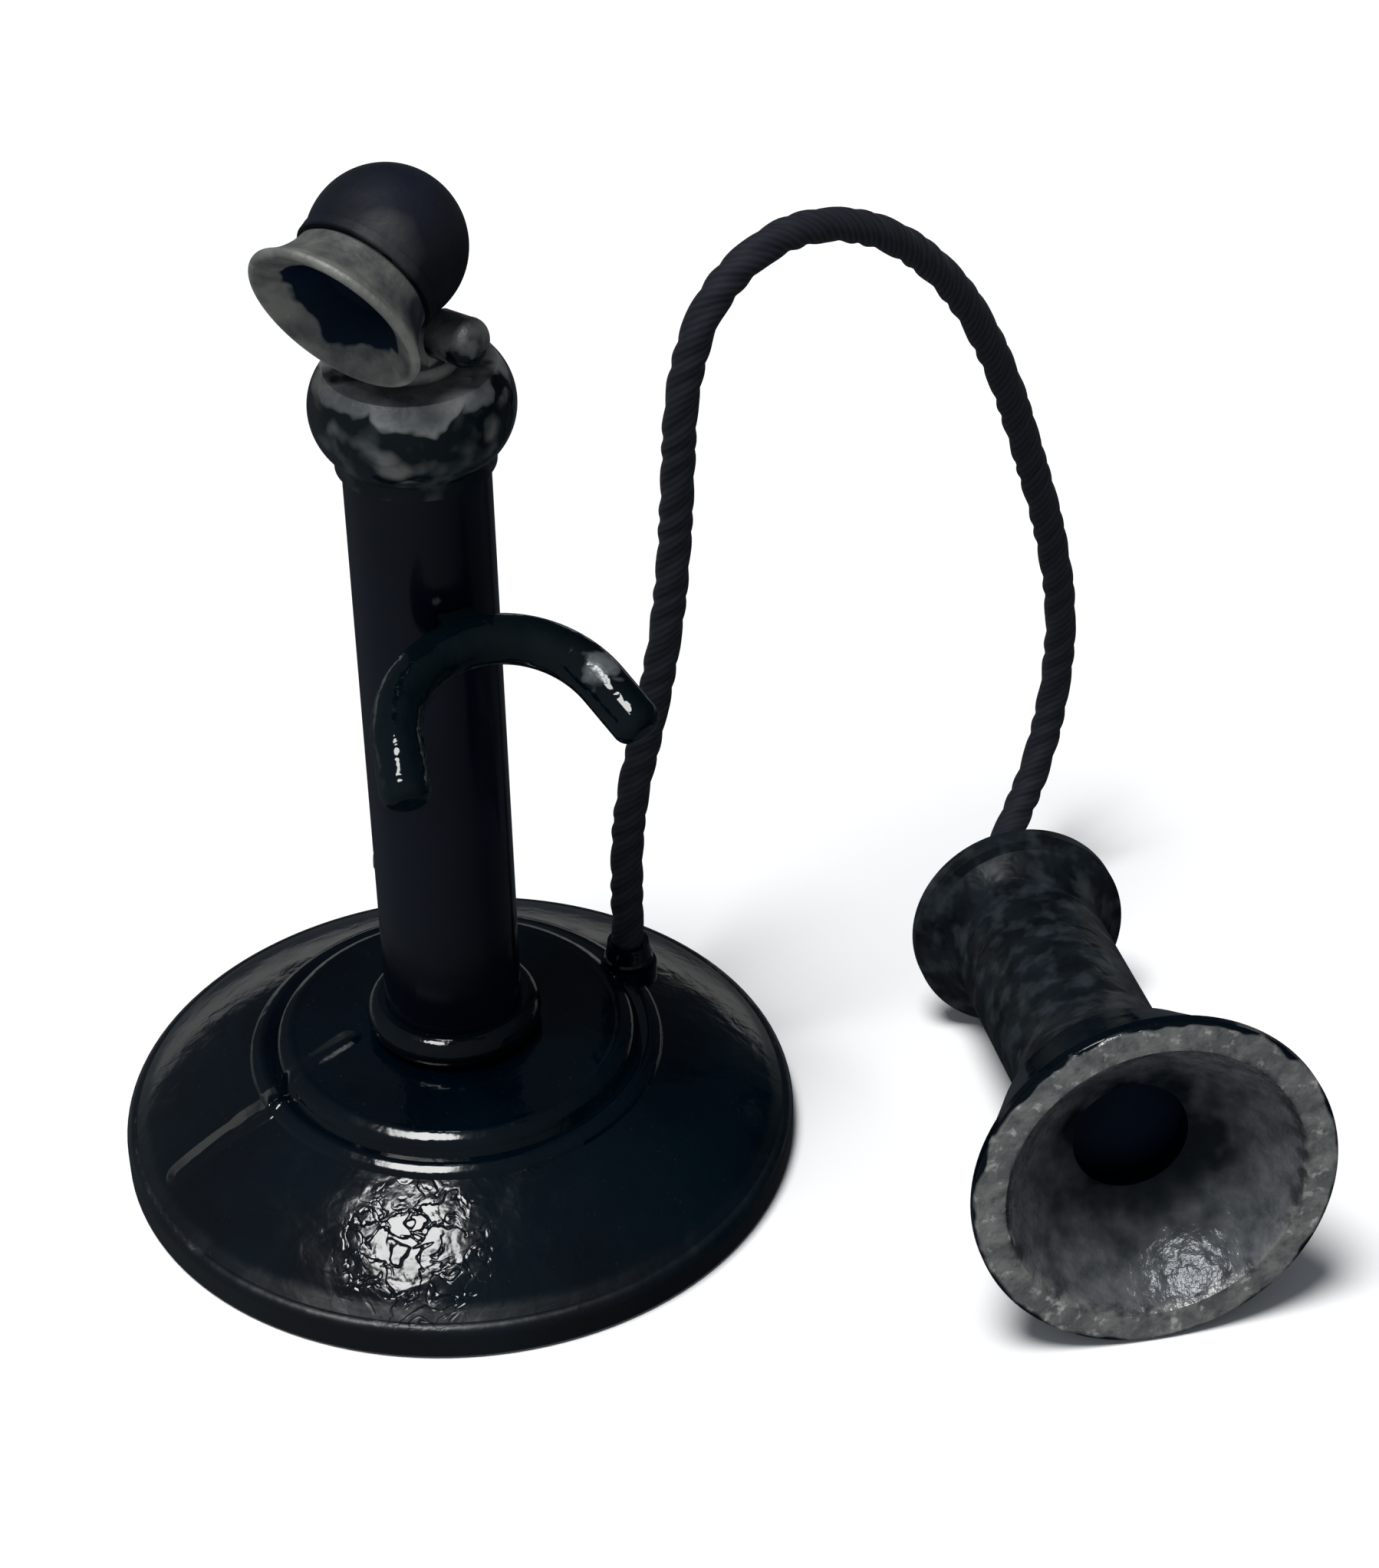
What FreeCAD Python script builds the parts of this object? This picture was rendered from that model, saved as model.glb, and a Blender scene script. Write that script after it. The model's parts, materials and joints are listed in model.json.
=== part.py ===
import FreeCAD
import Part
import math
import os

# Candlestick desk telephone, with the receiver off the hook and lying beside the stand.
# Millimetres, +Z up, origin at the centre of the felt foot. -Y is the side seen from the front.
# Azimuths are degrees about +Z, counted from +X.

V = FreeCAD.Vector
ORIGIN = V(0, 0, 0)
UP = V(0, 0, 1)

# Fits
SLIP = 0.05             # radial room between a fastener or plug and its hole
RUN = 0.05              # radial room of a pin that something turns on
SIDE_GAP = 0.35         # room beside a piece that moves
EDGE_BREAK = 0.8        # broken edge of a turned or moulded piece
END_ROOM = 0.5          # room past the end of a screw or stud
CONTACT_GAP = 0.3       # room between switch contacts that almost touch

# Base
BASE_R = 75.0
FELT_T = 1.5
FELT_R = 71.0
PLATE_T = 1.5
PLATE_R = 71.9
RIM_BOTTOM = 0.8        # the rim clears the table by this much
RIM_H = 7.4
RIM_ROUND = 2.4
LEDGE_W = 2.7           # ledge inside the rim that the bottom plate seats on
CAST_WALL = 3.0
CONE_TOP_R = 46.0
CONE_TOP_Z = 24.3
CONE_CROWN = 1.1        # swell of the sloping top
BEAD_H = 2.1            # bead round the top of the cone
BEAD_W = 3.4
GROOVE_W = 1.6          # groove between the bead and the hub
GROOVE_D = 0.6
HUB_R = 40.0
HUB_EDGE_Z = 30.0
HUB_SIDE_H = 0.7
HUB_ROUND = 4.5
HUB_TOP_Z = 31.0
HUB_WALL = 4.0
PLATE_SCREW_CIRCLE_R = 60.0
PLATE_SCREW_COUNT = 3
PLATE_SCREW_AZ = 15.0
PLATE_SCREW_R = 1.5
PLATE_SCREW_HEAD_R = 2.9
PLATE_SCREW_LENGTH = 9.0
PLATE_BOSS_R = 4.0
HUB_FLAT_W = 1.5        # flat round the foot ring

# Line cord inlet at the back of the base
INLET_AZ = 92.0
INLET_Z = 10.0
INLET_BOSS_R = 6.2
INLET_SETBACK = 2.4
INLET_L = 15.6
INLET_HOLE_R = 4.4
INLET_BORE_R = 2.6
INLET_LIP_T = 1.4
INLET_LIP_R = 5.6

# Gland of the receiver cord, on the cone beside the hub
GLAND_X = 38.4
GLAND_Y = 24.0
GLAND_BOSS_R = 6.4
GLAND_SEAT_Z = 27.0
GLAND_STEM_R = 3.6
GLAND_STEM_L = 8.0
GLAND_FLANGE_R = 5.6
GLAND_FLANGE_T = 1.8
GLAND_NECK_R = 4.7
GLAND_NECK_STEP = 0.5
GLAND_TOP_Z = 33.0

# Terminal block inside the base
TERMINAL_L = 36.0
TERMINAL_W = 13.0
TERMINAL_H = 9.0
TERMINAL_X = -34.0
TERMINAL_PITCH = 8.5
TERMINAL_COUNT = 4
TERMINAL_SCREW_R = 1.2
TERMINAL_HEAD_R = 2.2
TERMINAL_HEAD_H = 1.7
TERMINAL_SCREW_L = 5.0
BLOCK_SCREW_R = 1.2
BLOCK_SCREW_HEAD_R = 2.3
BLOCK_SCREW_L = 6.0

# Column
COLUMN_R = 15.0
COLUMN_WALL = 2.0
COLUMN_TOP_Z = 175.0
COLUMN_BELOW_HUB = 7.0
NUT_ACROSS_FLATS = 40.0
NUT_H = 6.0
FOOT_RING_R = 19.3
FOOT_RING_H = 7.6
FOOT_RING_BULGE = 2.7
COLLAR_R = 20.7
COLLAR_H = 22.0
COLLAR_BULGE_RISE = 11.5
COLLAR_NECK_R = 16.3
COLLAR_NECK_H = 3.0
COLLAR_TOP_R = 17.2
COLLAR_SPIGOT_L = 11.0
COLLAR_SPIGOT_WALL = 3.5
COLLAR_WELL_ROOM = 2.0

# Hook lever and its fork
HOOK_AZ = -64.0
HOOK_BELOW_TOP = 31.5
HOOK_DOWN_DEG = 10.0
SHANK_W = 7.0
SHANK_H = 8.4
FORK_ROOT_X = 21.2
FORK_SLOPE_DEG = 26.0
FORK_BEND_R = 23.1
FORK_BEND_DEG = 76.0
FORK_PRONG_L = 13.4
PRONG_R = 5.2
PRONG_END_ROUND = 3.2
PIVOT_R = 1.6
PIVOT_BOSS_R = 5.6
LEVER_ARM_T = 5.0
LEVER_ARM_W = 6.0
LEVER_ARM_DROP = 23.5
STUD_DROP = 21.0
STUD_R = 1.5
STUD_L = 3.0
STUD_SEAT = 2.0
STUD_SEAT_R = 0.9
PIN_PAST_CHEEK = 0.6

# Switch inside the column
CHEEK_T = 1.5
CHEEK_W = 7.0
CHEEK_ABOVE_PIVOT = 6.0
BRACKET_BELOW_HOOK = 70.0
BRACKET_DISC_T = 4.0
BRACKET_SCREW_R = 1.4
BRACKET_SCREW_HEAD_R = 2.6
BRACKET_SCREW_HEAD_T = 1.1
BRACKET_SCREW_L = 8.0
BRACKET_SCREW_AZ = (120.0, 240.0)
STACK_H = 16.0
STACK_W = 7.4
STACK_BACK_X = -12.2
STACK_FRONT_X = -0.4
SPRING_T = 0.5
SPRING_W = 5.0
SPRING_SLOT_ROOM = 0.45
SPRING_ROOT_DEPTH = 2.0
FRONT_SPRING_BELOW_ARM = 5.5
REAR_SPRING_BELOW_ARM = 3.5
REAR_SPRING_X = -11.3
FRONT_SPRING_STEP = 2.9     # front spring stands this far ahead of the main spring
MAIN_SPRING_PAST_STUD = 3.0
RIVET_R = 1.3
RIVET_BELOW_TOP = 3.0
REAR_RIVET_L = 0.9
STACK_SCREW_R = 0.9
STACK_SCREW_HEAD_R = 1.7
STACK_SCREW_HEAD_T = 0.9
STACK_SCREW_RISE = 3.5
STACK_SCREW_INSET = 1.9
SPRING_ABOVE_SCREW = 1.0

# Transmitter
MOUTH_AZ = -125.0
MOUTH_TILT_DEG = 25.0       # nose down at rest
BALL_R = 15.8
BALL_FORWARD = 4.4
TILT_PIVOT_RISE = 9.0
BALL_RISE = 18.6
CUP_WALL = 2.0
CUP_FRONT_A = 6.0
LUG_T = 7.8
LUG_END_R = 3.5
EAR_T = 3.8
EAR_R = 3.8
YOKE_BASE_R = 10.4
YOKE_BASE_T = 3.2
YOKE_STUD_R = 4.0
YOKE_STUD_L = 14.0
TILT_SCREW_R = 1.9
TILT_HEAD_R = 3.6
TILT_HEAD_T = 2.4
TILT_NUT_R = 5.0
TILT_NUT_L = 10.2
TILT_NUT_STRAIGHT = 6.0
TILT_NUT_FLAT_R = 1.4
TILT_NUT_BORE = 6.6
FACE_T = 2.2
FACE_LIP = 0.5
FACE_HOLE_R = 7.2
FACE_SCREW_R = 0.8
FACE_EDGE = 0.3
FACE_SCREW_HEAD_R = 1.1
FACE_SCREW_HEAD_T = 0.8
FACE_SCREW_L = 3.4
FACE_SCREW_COUNT = 4
FACE_SCREW_AZ = 45.0
GASKET_T = 1.0
GASKET_W = 1.7
DIAPHRAGM_T = 0.4
DIAPHRAGM_EDGE_GAP = 0.3
BUTTON_R = 6.5
BUTTON_L = 7.2
ELECTRODE_R = 2.0
ELECTRODE_L = 1.4
BRIDGE_T = 1.9
BRIDGE_W = 12.0
MOUTH_RIM_R = 19.0
MOUTH_RIM_A = 18.8
MOUTH_WALL = 1.7
MOUTH_LIP_ROUND = 0.6
MOUTH_BACK_R = 14.2
MOUTH_BOWL_R = 7.7
MOUTH_BOWL_RISE = 1.9
MOUTH_THROAT_R = 5.4
MOUTH_BOSS_L = 1.8

# Receiver, with S counted along its axis from the back of the tail rim to the ear cap
RECEIVER_X = 127.8
RECEIVER_Y = 38.5
RECEIVER_AZ = -79.5
RECEIVER_LIFT = 150.0
TAIL_R = 24.5
TAIL_RIM_T = 3.2
TAIL_FRONT_S = 4.5
TAIL_DOME_S = -3.0
TAIL_DOME_R = 9.0
TAIL_PLUG_L = 5.5
TAIL_EDGE = 0.9
TAIL_FLARE_R = 21.6
TAIL_FLARE_L = 14.0
HANDLE_R = 17.4
HANDLE_BORE_R = 13.6
SHELL_END_S = 84.0
SHELL_FLARE_L = 24.0
SHELL_CHAMBER_L = 18.0
SHELL_END_R = 27.0
CHAMBER_R = 22.8
CHAMBER_LIP = 2.0
EAR_RIM_R = 39.1
EAR_CAP_L = 23.4
EAR_RIM_T = 1.8
EAR_RIM_ROUND = 1.0
EAR_LIP_R = 32.4
EAR_STEP_W = 0.7
EAR_STEP_D = 1.3
EAR_THROAT_R = 12.6
EAR_THROAT_L = 7.0
EAR_BACK_TAPER = 2.0
EAR_DISC_R = 25.0
EAR_DISC_T = 0.4
EAR_RECESS_ROOM = 0.2
POLE_T = 4.0
POLE_W = 8.0
POLE_GAP = 0.6
POLE_OFFSET = 6.5
MAGNET_T = 5.0
MAGNET_W = 13.0
MAGNET_BRIDGE_L = 6.0
COIL_WALL = 3.2
COIL_L = 10.5
COIL_BELOW_END = 4.5
COIL_PLATE_BELOW_END = 23.0
COIL_PLATE_T = 4.0
MAGNET_BELOW_PLATE = 3.0
BUSHING_R = 6.4
BUSHING_NECK_R = 4.8
BUSHING_L = 6.0
BUSHING_RIM_T = 1.2

# Receiver cord
CORD_D = 7.5
CORD_LAST_RUN = 14.0
CORD_ROUTE = [
    (GLAND_X, GLAND_Y, GLAND_TOP_Z),
    (GLAND_X, GLAND_Y, 51.0),
    (39.7, 24.8, 71.0),
    (46.0, 29.0, 96.0),
    (50.2, 32.0, 122.0),
    (51.9, 33.1, 148.0),
    (53.0, 33.8, 171.5),
    (59.5, 38.5, 190.5),
    (76.0, 50.0, 199.5),
    (95.5, 63.5, 192.0),
    (112.5, 75.2, 172.5),
    (124.0, 83.1, 147.0),
    (131.2, 88.1, 122.0),
    (138.0, 92.4, 97.0),
    (142.0, 94.8, 72.5),
    (141.0, 93.8, 51.0),
    (136.6, 86.5, 34.0),
    (129.2, 75.2, 22.8),
]

# Worked out from the sizes above
PLATE_TOP_Z = FELT_T + PLATE_T
RIM_TOP_Z = RIM_BOTTOM + RIM_H
INLET_OUT_R = BASE_R - INLET_SETBACK
INLET_IN_R = INLET_OUT_R - INLET_L
HUB_UNDER_Z = HUB_TOP_Z - HUB_WALL
COLUMN_BOTTOM_Z = HUB_UNDER_Z - COLUMN_BELOW_HUB
COLUMN_BORE_R = COLUMN_R - COLUMN_WALL
COLLAR_TOP_Z = COLUMN_TOP_Z + COLLAR_H
COLLAR_BULGE_Z = COLUMN_TOP_Z + COLLAR_BULGE_RISE
HOOK_Z = COLUMN_TOP_Z - HOOK_BELOW_TOP
TILT_PIVOT_Z = COLLAR_TOP_Z + TILT_PIVOT_RISE
BALL_Z = TILT_PIVOT_Z + BALL_RISE
BRACKET_DISC_Z = HOOK_Z - BRACKET_BELOW_HOOK
CHEEK_IN = SHANK_W / 2 + SIDE_GAP
BRACKET_TOP_Z = BRACKET_DISC_Z + BRACKET_DISC_T
STACK_TOP_Z = BRACKET_TOP_Z + STACK_H
MAIN_SPRING_X = -(LEVER_ARM_T / 2 + STUD_L + CONTACT_GAP + SPRING_T / 2)
ARM_END_Z = HOOK_Z - LEVER_ARM_DROP
MAIN_SPRING_TOP_Z = HOOK_Z - STUD_DROP + MAIN_SPRING_PAST_STUD
FRONT_SPRING_TOP_Z = ARM_END_Z - FRONT_SPRING_BELOW_ARM
REAR_SPRING_TOP_Z = ARM_END_Z - REAR_SPRING_BELOW_ARM
EAR_IN = LUG_T / 2 + SIDE_GAP
HANDLE_STRAIGHT_S = SHELL_END_S - SHELL_FLARE_L
HANDLE_BORE_S = SHELL_END_S - SHELL_CHAMBER_L
EAR_RIM_BACK_S = SHELL_END_S + EAR_CAP_L
EAR_END_S = EAR_RIM_BACK_S + EAR_RIM_T + EAR_RIM_ROUND
EAR_THROAT_S = SHELL_END_S + EAR_THROAT_L
COIL_END_S = SHELL_END_S - COIL_BELOW_END
COIL_START_S = COIL_END_S - COIL_L
COIL_PLATE_S = SHELL_END_S - COIL_PLATE_BELOW_END
MAGNET_END_S = COIL_PLATE_S - MAGNET_BELOW_PLATE
BUSHING_END_S = TAIL_DOME_S - BUSHING_L
RECEIVER_TILT = math.asin((EAR_RIM_R - TAIL_R) / EAR_RIM_BACK_S)


def point_rz(rz):
    """Point of a turned profile: radius along X, height along Z."""
    return V(rz[0], 0, rz[1])


def profile_face(start, steps):
    """Closed face from a start point and steps: a point for a line, (mid, end) points for an arc."""
    edges = []
    here = start
    for step in list(steps) + [start]:
        if isinstance(step[0], tuple):
            mid, end = step
            edges.append(Part.Arc(point_rz(here), point_rz(mid), point_rz(end)).toShape())
        else:
            end = step
            if end != here:
                edges.append(Part.makeLine(point_rz(here), point_rz(end)))
        here = end
    return Part.Face(Part.Wire(edges))


def turned(start, *steps):
    """Solid turned about Z from a profile."""
    return profile_face(start, steps).revolve(ORIGIN, UP, 360)


def rod(radius, start, end):
    """Round bar between two points."""
    return Part.makeCylinder(radius, (end - start).Length, start, end - start)


def block(low, high):
    """Box between two corners."""
    return Part.makeBox(high[0] - low[0], high[1] - low[1], high[2] - low[2], V(*low))


def around_z(shape, azimuth):
    """Copy of a shape turned about the column's axis."""
    copy = shape.copy()
    copy.rotate(ORIGIN, UP, azimuth)
    return copy


def polar(radius, azimuth, z=0.0):
    """Point at a radius and azimuth about the column's axis."""
    angle = math.radians(azimuth)
    return V(radius * math.cos(angle), radius * math.sin(angle), z)


def on_circle(count, first):
    """Evenly spaced azimuths."""
    return [first + 360.0 * i / count for i in range(count)]


def group(solids):
    """Several separate solids as one shape."""
    return Part.makeCompound(solids)


def screw(shank_r, head_r, head_t, length, seat, direction):
    """Cheese-head screw: the head stands out of the seat, the shank goes along direction."""
    unit = V(direction)
    unit.normalize()
    head = rod(head_r, seat - unit * head_t, seat)
    return head.fuse(rod(shank_r, seat - unit * head_t / 2, seat + unit * length)).removeSplitter()


def cone_z(radius, offset=0.0):
    """Height of the base's sloping top at a radius, lowered by an offset square to the slope."""
    slope = (CONE_TOP_Z - RIM_TOP_Z) / (BASE_R - RIM_ROUND - CONE_TOP_R)
    return CONE_TOP_Z - slope * (radius - CONE_TOP_R) - offset * math.hypot(1, slope)


def base_casting():
    """Cast base: rim, sloping top, beads and raised hub, hollow below, with its bosses and holes."""
    bore_r = COLUMN_R + SLIP
    ledge_r = PLATE_R + SIDE_GAP
    wall_r = ledge_r - LEDGE_W
    under_r = CONE_TOP_R - CAST_WALL
    hub_in_r = HUB_R - CAST_WALL
    bead_z = CONE_TOP_Z + BEAD_H
    bead_in_r = CONE_TOP_R - BEAD_W
    groove_z = bead_z - GROOVE_D
    side_z = bead_z + HUB_SIDE_H
    edge = 1 - math.sqrt(0.5)
    cone_mid_r = (CONE_TOP_R + BASE_R - RIM_ROUND) / 2
    cone_mid = (cone_mid_r, cone_z(cone_mid_r, -CONE_CROWN))
    hub_mid = (HUB_R - edge * HUB_ROUND, HUB_EDGE_Z - edge * (HUB_EDGE_Z - side_z))
    shell = turned(
        (BASE_R, RIM_BOTTOM),
        (BASE_R, RIM_TOP_Z - RIM_ROUND),
        ((BASE_R - edge * RIM_ROUND, RIM_TOP_Z - edge * RIM_ROUND), (BASE_R - RIM_ROUND, RIM_TOP_Z)),
        (cone_mid, (CONE_TOP_R, CONE_TOP_Z)),
        ((CONE_TOP_R - edge * BEAD_W, CONE_TOP_Z + BEAD_H * (1 - edge)), (bead_in_r, bead_z)),
        (HUB_R + GROOVE_W / 2, groove_z),
        (HUB_R, side_z),
        (hub_mid, (HUB_R - HUB_ROUND, HUB_EDGE_Z)),
        (FOOT_RING_R + HUB_FLAT_W, HUB_TOP_Z),
        (bore_r, HUB_TOP_Z),
        (bore_r, HUB_UNDER_Z),
        (hub_in_r, HUB_UNDER_Z),
        (under_r, cone_z(under_r, CAST_WALL)),
        (wall_r, cone_z(wall_r, CAST_WALL)),
        (wall_r, PLATE_TOP_Z),
        (ledge_r, PLATE_TOP_Z),
        (ledge_r, RIM_BOTTOM),
    )
    inside = turned(
        (0, 0),
        (BASE_R, 0),
        (BASE_R, cone_z(BASE_R, CAST_WALL / 2)),
        (CONE_TOP_R, cone_z(CONE_TOP_R, CAST_WALL / 2)),
        (0, cone_z(CONE_TOP_R, CAST_WALL / 2)),
    )
    screw_z = PLATE_TOP_Z + PLATE_SCREW_LENGTH
    gland = V(GLAND_X, GLAND_Y, 0)
    gland_r = math.hypot(GLAND_X, GLAND_Y)
    inlet_in = polar(INLET_IN_R, INLET_AZ, INLET_Z)
    inlet_seat = polar(INLET_OUT_R, INLET_AZ, INLET_Z)
    inlet_out = polar(BASE_R + 1, INLET_AZ, INLET_Z)
    azimuths = on_circle(PLATE_SCREW_COUNT, PLATE_SCREW_AZ)
    screw_feet = [polar(PLATE_SCREW_CIRCLE_R, a) for a in azimuths]
    bosses = [rod(PLATE_BOSS_R, foot + UP * PLATE_TOP_Z, foot + UP * CONE_TOP_Z) for foot in screw_feet]
    adds = [boss.common(inside) for boss in bosses]
    adds.append(rod(INLET_BOSS_R, inlet_in, inlet_seat))
    adds.append(rod(GLAND_BOSS_R, gland + UP * cone_z(gland_r, CAST_WALL), gland + UP * GLAND_SEAT_Z))
    cuts = [rod(PLATE_SCREW_R + SLIP, foot, foot + UP * screw_z) for foot in screw_feet]
    cuts.append(rod(INLET_HOLE_R + SLIP, inlet_in - polar(1, INLET_AZ), inlet_out))
    cuts.append(rod(INLET_LIP_R + SIDE_GAP, inlet_seat, inlet_out))
    cuts.append(rod(GLAND_STEM_R + SLIP, gland, gland + UP * (GLAND_SEAT_Z + 1)))
    cuts.append(rod(GLAND_FLANGE_R + SIDE_GAP, gland + UP * GLAND_SEAT_Z, gland + UP * GLAND_TOP_Z))
    return shell.fuse(adds).cut(cuts).removeSplitter()


def base_parts():
    """Base casting with its plate, felt, screws, inlet bushing, cord gland and terminal block."""
    azimuths = on_circle(PLATE_SCREW_COUNT, PLATE_SCREW_AZ)
    block_low_x = TERMINAL_X - TERMINAL_W / 2
    block_holes = [V(TERMINAL_X, side * TERMINAL_PITCH, 0) for side in (-1, 1)]
    rows = [TERMINAL_PITCH * (i - (TERMINAL_COUNT - 1) / 2) for i in range(TERMINAL_COUNT)]
    terminal_top = PLATE_TOP_Z + TERMINAL_H
    seats = [V(TERMINAL_X, y, terminal_top) for y in rows]

    plate = Part.makeCylinder(PLATE_R, PLATE_T, UP * FELT_T)
    plate_screws = []
    for a in azimuths:
        low = polar(PLATE_SCREW_CIRCLE_R, a, FELT_T)
        top = polar(PLATE_SCREW_CIRCLE_R, a, PLATE_TOP_Z)
        head = Part.makeCone(PLATE_SCREW_HEAD_R, PLATE_SCREW_R, PLATE_T, low)
        plate = plate.cut(Part.makeCone(PLATE_SCREW_HEAD_R + SLIP, PLATE_SCREW_R + SLIP, PLATE_T, low))
        shank = rod(PLATE_SCREW_R, top, top + UP * (PLATE_SCREW_LENGTH - END_ROOM))
        plate_screws.append(head.fuse(shank).removeSplitter())
    plate = plate.cut([rod(BLOCK_SCREW_R + SLIP, p, p + UP * (PLATE_TOP_Z + 1)) for p in block_holes])

    felt = Part.makeCylinder(FELT_R, FELT_T)
    felt_pockets = [Part.makeCylinder(BLOCK_SCREW_HEAD_R + SIDE_GAP, FELT_T, p) for p in block_holes]

    terminal = block(
        (block_low_x, -TERMINAL_L / 2, PLATE_TOP_Z),
        (block_low_x + TERMINAL_W, TERMINAL_L / 2, terminal_top),
    )
    top_edges = [e for e in terminal.Edges if e.BoundBox.ZMin > terminal_top - SLIP]
    terminal = terminal.makeChamfer(EDGE_BREAK, top_edges)
    holes = [rod(TERMINAL_SCREW_R + SLIP, s - UP * (TERMINAL_SCREW_L + 1), s + UP) for s in seats]
    holes += [rod(BLOCK_SCREW_R + SLIP, p, p + UP * (FELT_T + BLOCK_SCREW_L + 1)) for p in block_holes]
    terminal = terminal.cut(holes)
    head_t = FELT_T * 0.6
    block_screws = [
        screw(BLOCK_SCREW_R, BLOCK_SCREW_HEAD_R, head_t, BLOCK_SCREW_L, p + UP * FELT_T, UP)
        for p in block_holes
    ]
    terminal_screws = [
        screw(TERMINAL_SCREW_R, TERMINAL_HEAD_R, TERMINAL_HEAD_H, TERMINAL_SCREW_L, s, -UP) for s in seats
    ]

    bushing = turned(
        (INLET_BORE_R, 0),
        (INLET_HOLE_R, 0),
        (INLET_HOLE_R, INLET_L),
        (INLET_LIP_R, INLET_L),
        (INLET_LIP_R, INLET_L + INLET_LIP_T),
        (INLET_BORE_R, INLET_L + INLET_LIP_T),
    )
    bushing.rotate(ORIGIN, V(0, 1, 0), 90)
    bushing.translate(V(INLET_IN_R, 0, INLET_Z))

    gland = turned(
        (0, GLAND_SEAT_Z - GLAND_STEM_L),
        (GLAND_STEM_R, GLAND_SEAT_Z - GLAND_STEM_L),
        (GLAND_STEM_R, GLAND_SEAT_Z),
        (GLAND_FLANGE_R, GLAND_SEAT_Z),
        (GLAND_FLANGE_R, GLAND_SEAT_Z + GLAND_FLANGE_T),
        (GLAND_NECK_R + GLAND_NECK_STEP, GLAND_SEAT_Z + GLAND_FLANGE_T + GLAND_NECK_STEP),
        (GLAND_NECK_R, GLAND_TOP_Z),
        (0, GLAND_TOP_Z),
    )
    gland.translate(V(GLAND_X, GLAND_Y, 0))
    return {
        "base_casting": base_casting(),
        "base_bottom_plate": plate,
        "base_felt_pad": felt.cut(felt_pockets),
        "base_plate_screws": group(plate_screws),
        "line_cord_bushing": around_z(bushing, INLET_AZ),
        "receiver_cord_gland": gland,
        "terminal_block": terminal,
        "terminal_screws": group(terminal_screws),
        "terminal_block_screws": group(block_screws),
    }


def column_parts():
    """Column tube with its slot, clamp nut, foot ring and top collar."""
    tube = Part.makeCylinder(COLUMN_R, COLUMN_TOP_Z - COLUMN_BOTTOM_Z, UP * COLUMN_BOTTOM_Z)
    tube = tube.cut(Part.makeCylinder(COLUMN_BORE_R, COLUMN_TOP_Z, UP * (COLUMN_BOTTOM_Z - 1)))
    down = math.radians(HOOK_DOWN_DEG)
    drop = COLUMN_R * math.tan(down) + SHANK_H / 2 / math.cos(down)
    slot = block(
        (0, -SHANK_W / 2 - SIDE_GAP, HOOK_Z - drop - 2 * SIDE_GAP),
        (COLUMN_R + 1, SHANK_W / 2 + SIDE_GAP, HOOK_Z + SHANK_H / 2 + SIDE_GAP),
    )
    tube = tube.cut(around_z(slot, HOOK_AZ))
    screw_z = BRACKET_DISC_Z + BRACKET_DISC_T / 2
    for a in BRACKET_SCREW_AZ:
        out = polar(COLUMN_R + 1, HOOK_AZ + a, screw_z)
        seat = polar(COLUMN_R - BRACKET_SCREW_HEAD_T, HOOK_AZ + a, screw_z)
        tube = tube.cut(rod(BRACKET_SCREW_R + SLIP, UP * screw_z, out))
        tube = tube.cut(rod(BRACKET_SCREW_HEAD_R + SLIP, seat, out))

    nut_r = NUT_ACROSS_FLATS / 2 / math.cos(math.radians(30))
    corners = [polar(nut_r, 60 * i, HUB_UNDER_Z - NUT_H) for i in range(7)]
    nut = Part.Face(Part.makePolygon(corners)).extrude(UP * NUT_H)
    nut = nut.cut(Part.makeCylinder(COLUMN_R + SLIP, 2 * NUT_H, UP * (HUB_UNDER_Z - 1.5 * NUT_H)))

    ring_mid = HUB_TOP_Z + FOOT_RING_H / 2
    ring_r = FOOT_RING_R - FOOT_RING_BULGE
    ring = turned(
        (COLUMN_R + SLIP, HUB_TOP_Z),
        (ring_r, HUB_TOP_Z),
        ((FOOT_RING_R, ring_mid), (ring_r, HUB_TOP_Z + FOOT_RING_H)),
        (COLUMN_R + SLIP, HUB_TOP_Z + FOOT_RING_H),
    )

    spigot_r = COLUMN_BORE_R - SLIP
    spigot_z = COLUMN_TOP_Z - COLLAR_SPIGOT_L
    well_r = spigot_r - COLLAR_SPIGOT_WALL
    stud_z = COLLAR_TOP_Z - YOKE_STUD_L - COLLAR_WELL_ROOM
    neck_z = COLUMN_TOP_Z + COLLAR_NECK_H
    collar = turned(
        (YOKE_STUD_R + SLIP, COLLAR_TOP_Z),
        (COLLAR_TOP_R, COLLAR_TOP_Z),
        ((COLLAR_R, COLLAR_BULGE_Z), (COLLAR_NECK_R, neck_z)),
        (COLLAR_NECK_R, COLUMN_TOP_Z),
        (spigot_r, COLUMN_TOP_Z),
        (spigot_r, spigot_z),
        (well_r, spigot_z),
        (well_r, stud_z),
        (YOKE_STUD_R + SLIP, stud_z),
    )
    return {
        "column_tube": tube,
        "column_clamp_nut": nut,
        "column_foot_ring": ring,
        "column_top_collar": collar,
    }


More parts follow.
